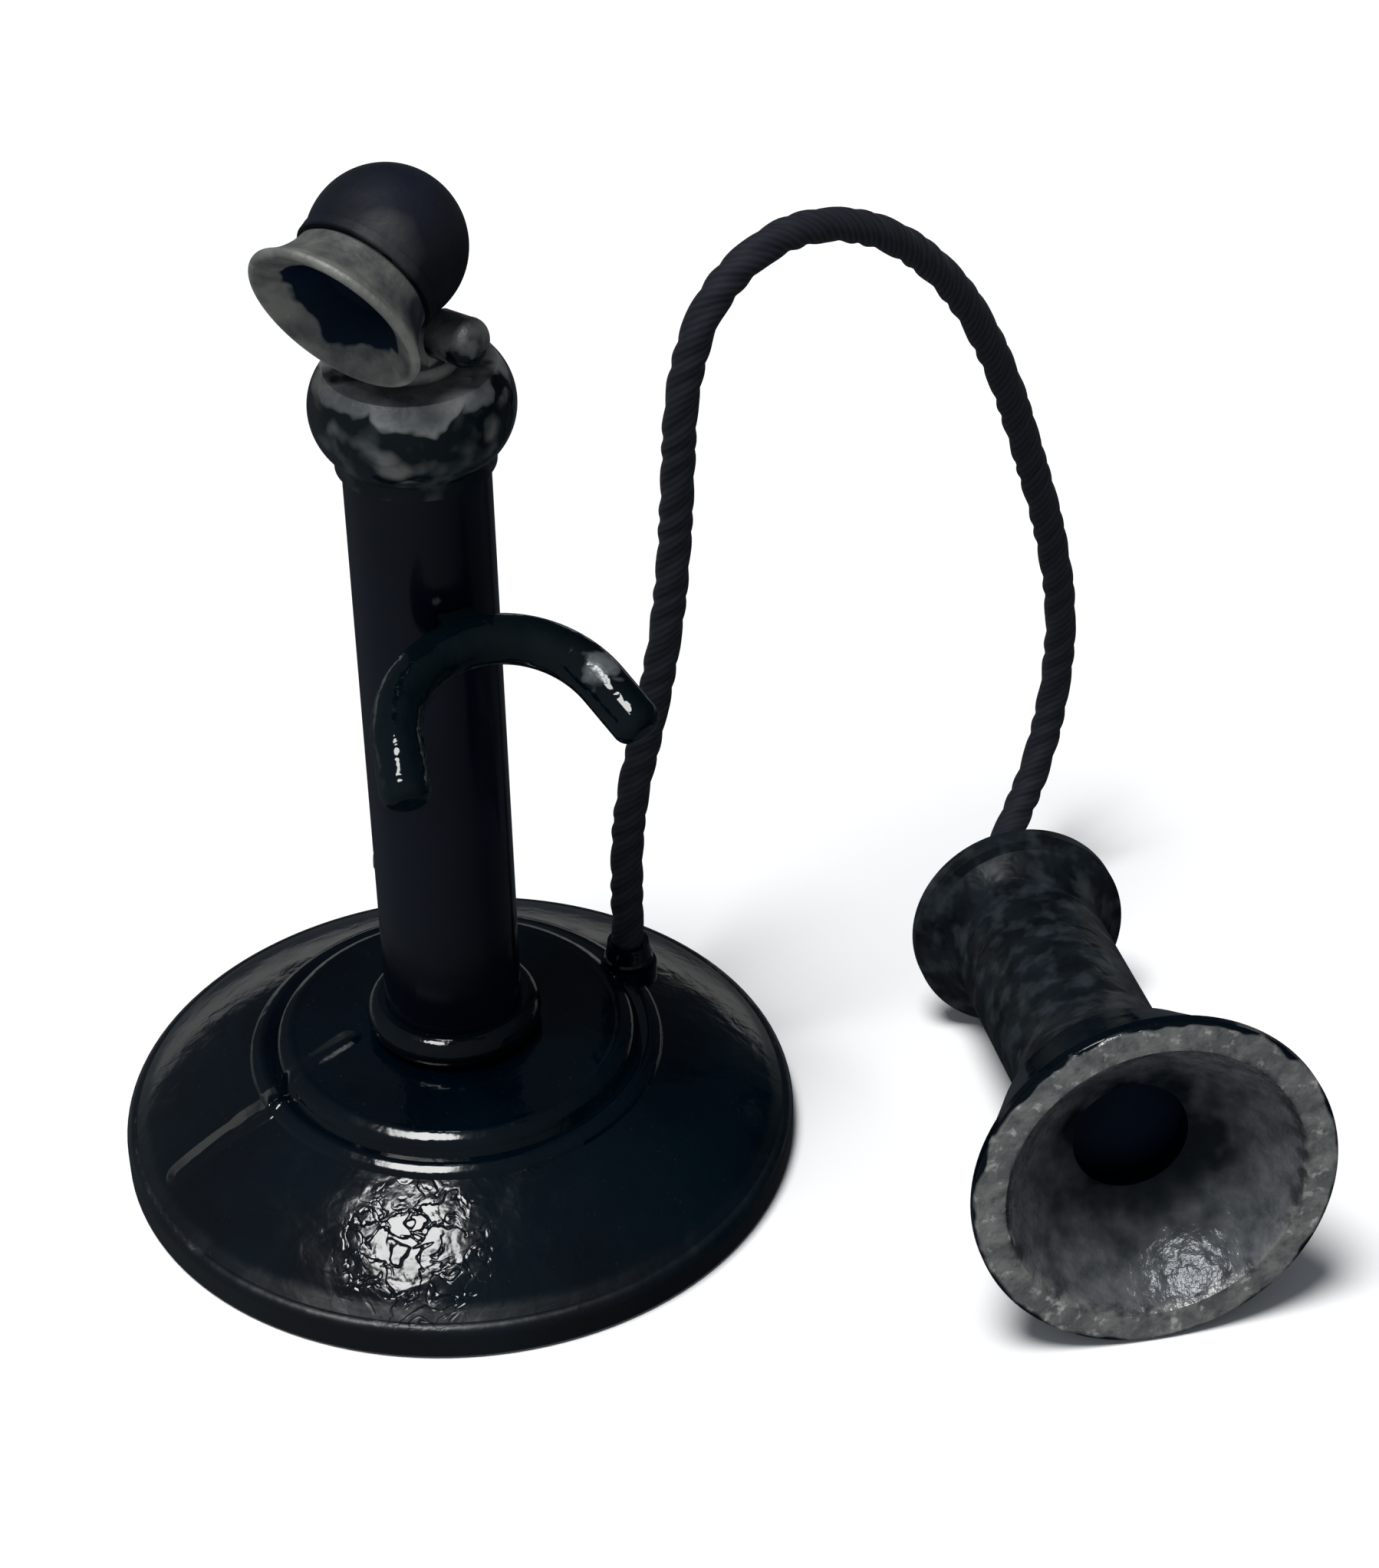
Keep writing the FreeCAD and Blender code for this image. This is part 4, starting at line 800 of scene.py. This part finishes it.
class Finishes:
    """The finishes of the telephone, each made once."""

    def __init__(self) -> None:
        """Makes every finish."""
        stand, head, receiver = Stand(), Head(), Receiver()
        # The base: thick gloss that sagged in runs, filled its edges and wrinkled in front.
        self.enamel = Enamel(
            "black_stove_enamel_brushed", "#000309", "#000a12", ior=1.38, gloss=0.10, dull=0.20, lump_mm=4.2,
            lump_height_mm=0.22, rim_from=stand.rim_start, rim_dull=0.25,
            wrinkle=Wrinkle(Spot((-0.0068, -0.0608, 0.0165), 0.0185, 0.009)),
            flow=(PaintRun((-0.0610, -0.0290, 0.0130), (-0.0411, -0.0215, 0.0241), 0.0036, 1.4),
                  PaintRun((-0.0397, -0.0208, 0.0259), (-0.0235, -0.0062, 0.0308), 0.0036, 1.3),
                  PaintRun((-0.0448, -0.0226, 0.0224), (-0.0411, -0.0215, 0.0241), 0.0048, 1.2),
                  PaintRing(stand.hub_edge, 0.0014, -0.11), PaintRing(stand.bead, 0.0012, -0.14))).make()
        # The column: drawn tube under thin, even enamel, a calm black with long soft gleams.
        self.smooth = Enamel(
            "black_stove_enamel_smooth", "#01040c", "#040915", dust_cover=0.05, gloss=0.12, dull=0.20,
            swell_height_mm=0.10, lump_height_mm=0.02, peel_height_mm=0.0).make()
        # The foot ring: a clean gloss with sharp gleams.
        self.bell = Enamel("black_stove_enamel_bell", "#010408", "#030a10", lump_height_mm=0.06).make()
        # The receiver's handle: lumpy and dull, mottled grey with dust.
        self.thick = Enamel(
            "black_stove_enamel_thick", "#06090d", "#141a1f", dust="#363d42", dust_cover=0.45,
            dust_from=0.48, dust_soft=0.22, ior=1.20, speck_mm=5.0, gloss=0.32, dull=0.50, cloud_mm=9.0,
            swell_height_mm=0.8, lump_mm=5.5, lump_height_mm=0.5).make()
        # Inside the mouthpiece and on the ear cap's diaphragm: a flat navy black without a gleam, painted
        # shade for the dark deep in the throat and, partly, in the bore.
        flat = Enamel(
            "navy_black_flat_painted_shade", "#000916", "#011224", dust_cover=0.05, ior=1.16, gloss=0.5, dull=0.7,
            swell_height_mm=0.2, lump_height_mm=0.05)
        self.flat = flat.make()
        # The hook: paint that dripped and set, so its gloss breaks into drops, with one scuff.
        dripped = Enamel(
            "black_stove_enamel_dripped", "#01060a", "#030d12", dust_cover=0.1, gloss=0.05, dull=0.10,
            swell_mm=8.0, swell_height_mm=1.0, lump_mm=3.2, lump_height_mm=0.20, peel_height_mm=0.0)
        self.hook = RubbedCasting(
            "black_stove_enamel_dripped_scuffed", Bare.NOWHERE, dripped, "#84898c", "#5d6265",
            spots=(Spot((0.0362, -0.0246, 0.1411), 0.0042, 0.002, 0.5),), ragged_depth=0.0015,
            ragged_mm=4.0).make()
        # The transmitter's cup: a satin navy black, rubbed grey on its crown.
        satin = Enamel(
            "navy_black_enamel_satin", "#090e14", "#0f1320", dust_cover=0.1, ior=1.26, gloss=0.60, dull=0.80,
            cloud_mm=20.0, swell_height_mm=0.3, lump_height_mm=0.12)
        self.dome = RubbedCasting(
            "navy_black_enamel_dome_rubbed", Bare.NOWHERE, satin, "#5f605d", "#4a4c4c",
            spots=(Spot((-0.0012, -0.0192, 0.2312), 0.0085, 0.006, 0.35),), ragged_depth=0.0012).make()
        # The collar and the yoke: wet gloss under dusty smears, bare on top, and streaked below with grey
        # streaks that are partly rubbed metal and partly painted highlights.
        wet = Enamel(
            "black_stove_enamel_wet", "#010509", "#040d12", dust="#4f5556", dust_cover=0.4, dust_from=0.52,
            dust_soft=0.25, speck_mm=7.0, gloss=0.06, dull=0.16, swell_mm=9.0, swell_height_mm=0.9,
            lump_mm=4.0, lump_height_mm=0.2, peel_height_mm=0.0)
        self.collar = RubbedCasting(
            "white_metal_collar_worn_and_painted_highlights", Bare.TOP, wet, "#9a9b97", "#5f6264", stand.collar_middle,
            start=-0.0008, full=0.0004, ragged_depth=0.0022,
            spots=(Spot((0.002, -0.014, 0.204), 0.0138),
                   # Grey streaks below the bare top: partly rubbed metal, partly painted highlights.
                   Spot((-0.0146, -0.0142, 0.1914), 0.0026, 0.003, 0.35, (-0.0044, -0.0205, 0.1872)),
                   Spot((-0.0060, -0.0200, 0.1845), 0.0022, 0.003, 0.30, (0.0040, -0.0205, 0.1840)),
                   Spot((0.0176, -0.0110, 0.1945), 0.0028, 0.003, 0.30, (0.0160, -0.0131, 0.1880)))).make()
        # The tilt screw and nut: grey metal where fingers turn them, black below.
        self.knob = RubbedCasting(
            "white_metal_knob_rubbed", Bare.TOP, wet, "#6f716f", "#3d4042", head.tilt_middle, start=-0.002,
            full=0.004, ragged_depth=0.005, ragged_mm=5.0).make()
        # The mouthpiece: dull stained metal with a paler lip, and a flat navy black left in its bore, partly
        # its enamel and partly painted shade.
        self.mouth = RubbedCasting(
            "white_metal_mouthpiece_worn_and_painted_shade", Bare.FLARE, flat, "#6c6d69", "#484b4c", head.ball, head.axis,
            start=0.0121, full=0.0127, spared=(Spot((0.0045, -0.0200, 0.2190), 0.0075, 0.004, 0.85),),
            lip=WornLip(0.0178, "#7e7f7a", 0.5), blotch_mm=6.0, roughness=0.58, ragged_depth=0.0016).make()
        # The ear cap: gritty, glinting metal in its dish, a crumbling lip whose near-white flecks are partly
        # painted glints, and enamel left in its throat, with the dish kept dark beside and below it.
        throat = Enamel("black_stove_enamel_throat", "#010509", "#020a12", ior=1.25, lump_height_mm=0.06)
        self.ear = RubbedCasting(
            "white_metal_ear_cap_worn_and_painted_glints", Bare.DISH, throat, "#5f6164", "#424548", receiver.rest,
            receiver.axis, start=0.0118, full=0.0265, stop=0.0387,
            # Two spared spots keep the dish dark in a lobe beside the throat and in a soft zone below it.
            spared=(Spot((0.1588, -0.0484, 0.0342), 0.0054, 0.003, 0.9),
                    Spot((0.1500, -0.0500, 0.0235), 0.0160, 0.014, 0.75)),
            lip=WornLip(0.0319, "#747573", 0.6, wander=0.0024, seam=0.85, flecks=0.5), blotch_mm=5.0,
            grit_mm=3.0, grit_height_mm=0.75, roughness=0.27, metallic=0.25).make()
        # The works: plain metals, mouldings and felt, each in its own tone.
        self.steel = Metal("steel_machined", "#9a9c9f", "#74777a").make()
        self.iron = Metal("iron_forged_black", "#4a4c50", "#2f3135", roughness=0.5).make()
        self.brass = Metal("brass_rolled", "#b39a5c", "#8e7740", roughness=0.28).make()
        self.copper = Metal(
            "copper_enamelled_wound", "#9a5632", "#6d3a20", roughness=0.35, grain_mm=0.4).make()
        self.aluminium = Metal("aluminium_rolled", "#b9bcbf", "#9b9ea2", roughness=0.3).make()
        self.ebonite = Moulded("ebonite_pressed", "#17130f", "#241c15", roughness=0.4).make()
        self.rubber = Moulded("black_rubber_moulded", "#101114", "#1a1b1e", roughness=0.65).make()
        self.felt = Moulded(
            "green_felt_pressed", "#23412f", "#1a3325", roughness=0.88, spread=0.1364, grain_mm=0.8,
            grain_height_mm=0.25).make()
        self.cord = CordCotton().make()
        self.floor = PaleFloor().make()


def dress(frame: Frame, finish: Material, *names: str) -> None:
    """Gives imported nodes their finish.

    Args:
        finish: the material.
        names: the nodes that get it.
    """
    for name in names:
        node = frame["nodes"][name]
        if not node.material_slots:
            node.data.materials.append(finish)
        for slot in node.material_slots:
            slot.link = "OBJECT"
            slot.material = finish
        LOG.info("%s: %s", name, finish.name)


@dataclass
class Stand:
    """The base casting, its fittings, the column and the hook switch inside it."""

    rim_start: float = 0.0690
    hub_edge: float = 0.0381
    bead: float = 0.04465
    collar_middle: Point = (0.0, 0.0, 0.1965)

    def dress(self, frame: Frame, finishes: Finishes) -> None:
        """Gives the stand's nodes their finishes.

        Args:
            finishes: the finishes.
        """
        dress(frame, finishes.enamel, "base_casting", "receiver_cord_gland")
        dress(frame, finishes.hook, "hook_lever")
        dress(frame, finishes.smooth, "column_tube")
        dress(frame, finishes.bell, "column_foot_ring")
        dress(frame, finishes.collar, "column_top_collar")
        dress(
            frame, finishes.steel, "base_bottom_plate", "base_plate_screws", "column_clamp_nut",
            "switch_bracket", "bracket_screws", "spring_stack_screws", "hook_pivot_pin",
            "terminal_block_screws")
        dress(
            frame, finishes.brass, "terminal_screws", "main_contact_spring", "front_contact_spring",
            "rear_contact_spring")
        dress(frame, finishes.ebonite, "terminal_block", "spring_insulator_stack", "lever_stud")
        dress(frame, finishes.rubber, "line_cord_bushing")
        dress(frame, finishes.felt, "base_felt_pad")


@dataclass
class Head:
    """The transmitter: its cup, faceplate, mouthpiece, tilting yoke and works."""

    ball: Point = (-0.0025237, -0.0036043, 0.2246)
    axis: Point = (-0.519837, -0.742404, -0.422618)
    tilt_middle: Point = (0.0, 0.0, 0.206)

    def dress(self, frame: Frame, finishes: Finishes) -> None:
        """Gives the head's nodes their finishes.

        Args:
            finishes: the finishes.
        """
        dress(frame, finishes.dome, "transmitter_cup", "transmitter_faceplate")
        dress(frame, finishes.mouth, "mouthpiece")
        dress(frame, finishes.collar, "transmitter_yoke")
        dress(frame, finishes.knob, "tilt_screw", "tilt_nut")
        dress(frame, finishes.iron, "faceplate_screws")
        dress(frame, finishes.steel, "button_bridge")
        dress(frame, finishes.brass, "carbon_button")
        dress(frame, finishes.rubber, "diaphragm_gasket")
        dress(frame, finishes.aluminium, "transmitter_diaphragm")


@dataclass
class Receiver:
    """The receiver lying on the table, with its ear cap, tail cap and works."""

    rest: Point = (0.1278, 0.0385, 0.024273)
    axis: Point = (0.18055, -0.97413, 0.13594)

    def dress(self, frame: Frame, finishes: Finishes) -> None:
        """Gives the receiver's nodes their finishes.

        Args:
            finishes: the finishes.
        """
        dress(frame, finishes.thick, "receiver_shell", "receiver_tail_cap")
        dress(frame, finishes.ear, "receiver_ear_cap")
        # The diaphragm's flat navy black is painted shade: it stands for the dark deep in the throat.
        dress(frame, finishes.flat, "receiver_diaphragm")
        dress(frame, finishes.iron, "receiver_magnet", "receiver_pole_pieces")
        dress(frame, finishes.copper, "receiver_coils")
        dress(frame, finishes.ebonite, "receiver_coil_plate")
        dress(frame, finishes.rubber, "receiver_cord_bushing")


@dataclass
class ReceiverCord:
    """The wire-cored cotton cord that stands in an arch from the base to the receiver's tail.
    """

    diameter: float = 0.0075
    length: float = 0.4264
    strands: int = 3
    lay: float = 0.022
    strand_share: float = 0.76
    unevenness: float = 0.8
    slack_waves: Span = (0.047, 0.031)
    sides: int = 36
    step: float = 0.0009
    spline_order: int = 3
    spline_steps: int = 24
    give_end: Point = (0.0978, 0.0621, 0.0615)
    route: tuple[Point, ...] = (
        (0.0384, 0.024, 0.033), (0.0384, 0.024, 0.051), (0.0397, 0.0248, 0.071), (0.046, 0.029, 0.096),
        (0.0502, 0.032, 0.122), (0.0519, 0.0331, 0.148), (0.053, 0.0338, 0.1715), (0.0595, 0.0385, 0.1905),
        (0.076, 0.05, 0.1995), (0.0955, 0.0635, 0.192), (0.1125, 0.0752, 0.1725), (0.124, 0.0831, 0.147),
        (0.1312, 0.0881, 0.122), (0.138, 0.0924, 0.097), (0.142, 0.0948, 0.0725), (0.141, 0.0938, 0.051),
        (0.1366, 0.0865, 0.034), (0.1292, 0.0752, 0.0228), (0.123648, 0.060905, 0.021146),
        (0.126175, 0.047267, 0.023049))

    def centre_line(self) -> list[Vector]:
        """Reads the cord's centre line from a smooth spline through its route.

        Returns:
            Points along the spline, a step apart.
        """
        curve = bpy.data.curves.new("cord_route", "CURVE")
        curve.dimensions = "3D"
        curve.resolution_u = self.spline_steps
        spline = curve.splines.new("NURBS")
        spline.points.add(len(self.route) - 1)
        for point, place in zip(spline.points, self.route):
            point.co = (*place, 1.0)
        spline.order_u = self.spline_order
        spline.use_endpoint_u = True
        spline.resolution_u = self.spline_steps
        holder = bpy.data.objects.new("cord_route", curve)
        bpy.context.collection.objects.link(holder)
        bpy.context.view_layer.update()
        mesh = bpy.data.meshes.new_from_object(holder)
        read = [vertex.co.copy() for vertex in mesh.vertices]
        bpy.data.objects.remove(holder)
        bpy.data.curves.remove(curve)
        bpy.data.meshes.remove(mesh)
        points = [read[0]]
        for here in read[1:]:
            while (here - points[-1]).length > self.step:
                points.append(points[-1] + (here - points[-1]).normalized() * self.step)
        points.append(read[-1])
        return points

    def section(self, angle: float) -> float:
        """Gives the radius of the laid-up cord, whose strands are pressed into one another.

        Args:
            angle: the angle round the cord from the middle of the first strand.

        Returns:
            The distance from the centre line to the outside of the nearest strand.
        """
        pitch = math.tau / self.strands
        off = (angle + pitch / 2) % pitch - pitch / 2
        strand_r = self.diameter / 2 * self.strand_share
        turn_r = self.diameter / 2 - strand_r
        return turn_r * math.cos(off) + math.sqrt(strand_r ** 2 - (turn_r * math.sin(off)) ** 2)

    def skin(self, line: list[Vector]) -> tuple[list[Vector], list[tuple[int, ...]], list[Span]]:
        """Sweeps the section along the centre line, turning with the lay, and closes both ends.

        Args:
            line: the centre line.

        Returns:
            The vertices, the faces, and where each face's corners lie on the unrolled cord.
        """
        last = len(line) - 1
        tangents = [(line[min(i + 1, last)] - line[max(i - 1, 0)]).normalized() for i in range(len(line))]
        side = tangents[0].orthogonal().normalized()
        long_wave, short_wave = self.slack_waves
        vertices: list[Vector] = []
        for i, (point, tangent) in enumerate(zip(line, tangents)):
            side = (side - tangent * side.dot(tangent)).normalized()
            across = tangent.cross(side)
            turn = math.tau * (i * self.step)
            slack = self.unevenness * math.sin(turn / long_wave) * math.sin(turn / short_wave)
            for k in range(self.sides):
                angle = math.tau * k / self.sides
                radial = side * math.cos(angle) + across * math.sin(angle)
                vertices.append(point + radial * self.section(angle - turn / self.lay + slack))
        faces: list[tuple[int, ...]] = []
        corners: list[Span] = []
        around = math.pi * self.diameter / self.sides
        for i in range(last):
            ring = i * self.sides
            low = i * self.step
            high = low + self.step
            for k in range(self.sides):
                after = (k + 1) % self.sides
                faces.append((ring + k, ring + after, ring + self.sides + after, ring + self.sides + k))
                left, right = k * around, (k + 1) * around
                corners += [(left, low), (right, low), (right, high), (left, high)]
        faces.append(tuple(reversed(range(self.sides))))
        faces.append(tuple(last * self.sides + k for k in range(self.sides)))
        corners += [(0.0, 0.0)] * (2 * self.sides)
        return vertices, faces, corners

    def build(self, finish: Material) -> None:
        """Lays up the strands round the centre line and puts them in place of the plain tube.

        Args:
            finish: the cord's material.
        """
        line = self.centre_line()
        vertices, faces, corners = self.skin(line)
        mesh = bpy.data.meshes.new("receiver_cord_rope")
        mesh.from_pydata(vertices, [], faces)
        layer = mesh.uv_layers.new(name="yarn")
        layer.data.foreach_set("uv", [value for corner in corners for value in corner])
        mesh.polygons.foreach_set("use_smooth", [True] * len(mesh.polygons))
        mesh.materials.append(finish)
        rope = bpy.data.objects.new("receiver_cord_rope", mesh)
        bpy.context.collection.objects.link(rope)
        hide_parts("receiver_cord")
        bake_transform(rope)
        LOG.info("receiver_cord_rope: %d strands, %d faces", self.strands, len(faces))


@dataclass
class Studio:
    """The pale floor, the soft light and the camera at the photograph's angle.

    The room is dim, with a brighter wall in front on the left. Behind the telephone a pale band lies at
    and below the horizon: its spans say where it fades in, where it fades out and how far back it starts.
    """

    eye: Point = (0.0531, -0.6375, 0.5563)
    pitch: float = math.radians(35.96)
    roll: float = math.radians(-1.2)
    lens_mm: float = 85.3
    near: float = 0.01
    floor_half: float = 40.0
    lamp: Point = (-0.22, -0.18, 0.96)
    lamp_strength: float = 3.4
    lamp_angle: float = math.radians(22.0)
    wall: Point = (-0.55, -0.75, 0.35)
    wall_span: Span = (-0.5, 1.0)
    room_bright: str = "#8f959b"
    room_dim: str = "#34383d"
    backdrop: str = "#bcbdba"
    backdrop_rise: Span = (-0.30, -0.06)
    backdrop_fall: Span = (0.04, -0.03)
    backdrop_depth: Span = (0.3, 0.6)

    def build(self, finishes: Finishes) -> None:
        """Lays the floor, hangs the lamp, tones the room and places the camera.

        Args:
            finishes: the finishes.
        """
        self.lay_floor(finishes.floor)
        self.hang_lamp()
        self.tone_room()
        self.place_camera()
        bpy.context.scene.view_settings.view_transform = "Standard"

    def lay_floor(self, paper: Material) -> None:
        """Lays the paper, which the gloss doesn't mirror.

        Args:
            paper: the floor's material.
        """
        half = self.floor_half
        mesh = bpy.data.meshes.new("floor")
        mesh.from_pydata(
            [(-half, -half, 0), (half, -half, 0), (half, half, 0), (-half, half, 0)], [], [(0, 1, 2, 3)])
        mesh.materials.append(paper)
        floor = bpy.data.objects.new("floor", mesh)
        bpy.context.collection.objects.link(floor)
        floor.visible_glossy = False

    def hang_lamp(self) -> None:
        """Hangs one broad, soft lamp overhead."""
        sun = bpy.data.lights.new("ceiling_lamp", "SUN")
        sun.energy = self.lamp_strength
        sun.angle = self.lamp_angle
        lamp = bpy.data.objects.new("ceiling_lamp", sun)
        lamp.rotation_euler = Vector(self.lamp).to_track_quat("Z", "Y").to_euler()
        bpy.context.collection.objects.link(lamp)

    def tone_room(self) -> None:
        """Tones the room from dim to bright and lays the pale band behind the telephone."""
        world = bpy.data.worlds.new("studio_room")
        world.use_nodes = True
        tree = world.node_tree
        tree.nodes.clear()
        seen = add(tree, Kind.COORDS).outputs["Generated"]
        toward = add(tree, Kind.VECTOR, {"operation": "DOT_PRODUCT", 1: self.wall}, {0: seen})
        share = add(tree, Kind.RANGE, {"From": self.wall_span}, {"Value": toward})
        room = add(
            tree, Kind.MIX, {"data_type": "RGBA", FIRST: self.room_dim, SECOND: self.room_bright},
            {0: share})
        _, back, up = add(tree, Kind.PARTS, links={0: seen}).outputs
        pale = add(tree, Kind.RANGE, {"From": self.backdrop_rise}, {"Value": up})
        for part, span in ((up, self.backdrop_fall), (back, self.backdrop_depth)):
            within = add(tree, Kind.RANGE, {"From": span}, {"Value": part})
            pale = add(tree, Kind.MATH, {"operation": "MULTIPLY"}, {0: pale, 1: within})
        tone = add(tree, Kind.MIX, {"data_type": "RGBA", SECOND: self.backdrop}, {0: pale, FIRST: room})
        sky = add(tree, Kind.BACKGROUND, links={"Color": tone})
        add(tree, Kind.WORLD, links={"Surface": sky})
        bpy.context.scene.world = world

    def place_camera(self) -> None:
        """Places the camera where the photograph was taken from."""
        ahead = Vector((0.0, math.cos(self.pitch), -math.sin(self.pitch)))
        above = Vector((0.0, math.sin(self.pitch), math.cos(self.pitch)))
        right = Vector((math.cos(self.roll), 0.0, 0.0)) + above * math.sin(self.roll)
        up = above * math.cos(self.roll) - Vector((math.sin(self.roll), 0.0, 0.0))
        lens = bpy.data.cameras.new("camera")
        lens.lens = self.lens_mm
        lens.clip_start = self.near
        camera = bpy.data.objects.new("camera", lens)
        turn = Matrix((right, up, -ahead)).transposed().to_4x4()
        camera.matrix_world = Matrix.Translation(self.eye) @ turn
        bpy.context.collection.objects.link(camera)
        bpy.context.scene.camera = camera


def main() -> None:
    """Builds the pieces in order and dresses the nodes."""
    logging.basicConfig(level=logging.INFO, format="%(name)s %(message)s")
    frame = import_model()
    finishes = Finishes()
    Stand().dress(frame, finishes)
    Head().dress(frame, finishes)
    Receiver().dress(frame, finishes)
    ReceiverCord().build(finishes.cord)
    Studio().build(finishes)


if __name__ == "__main__":
    main()
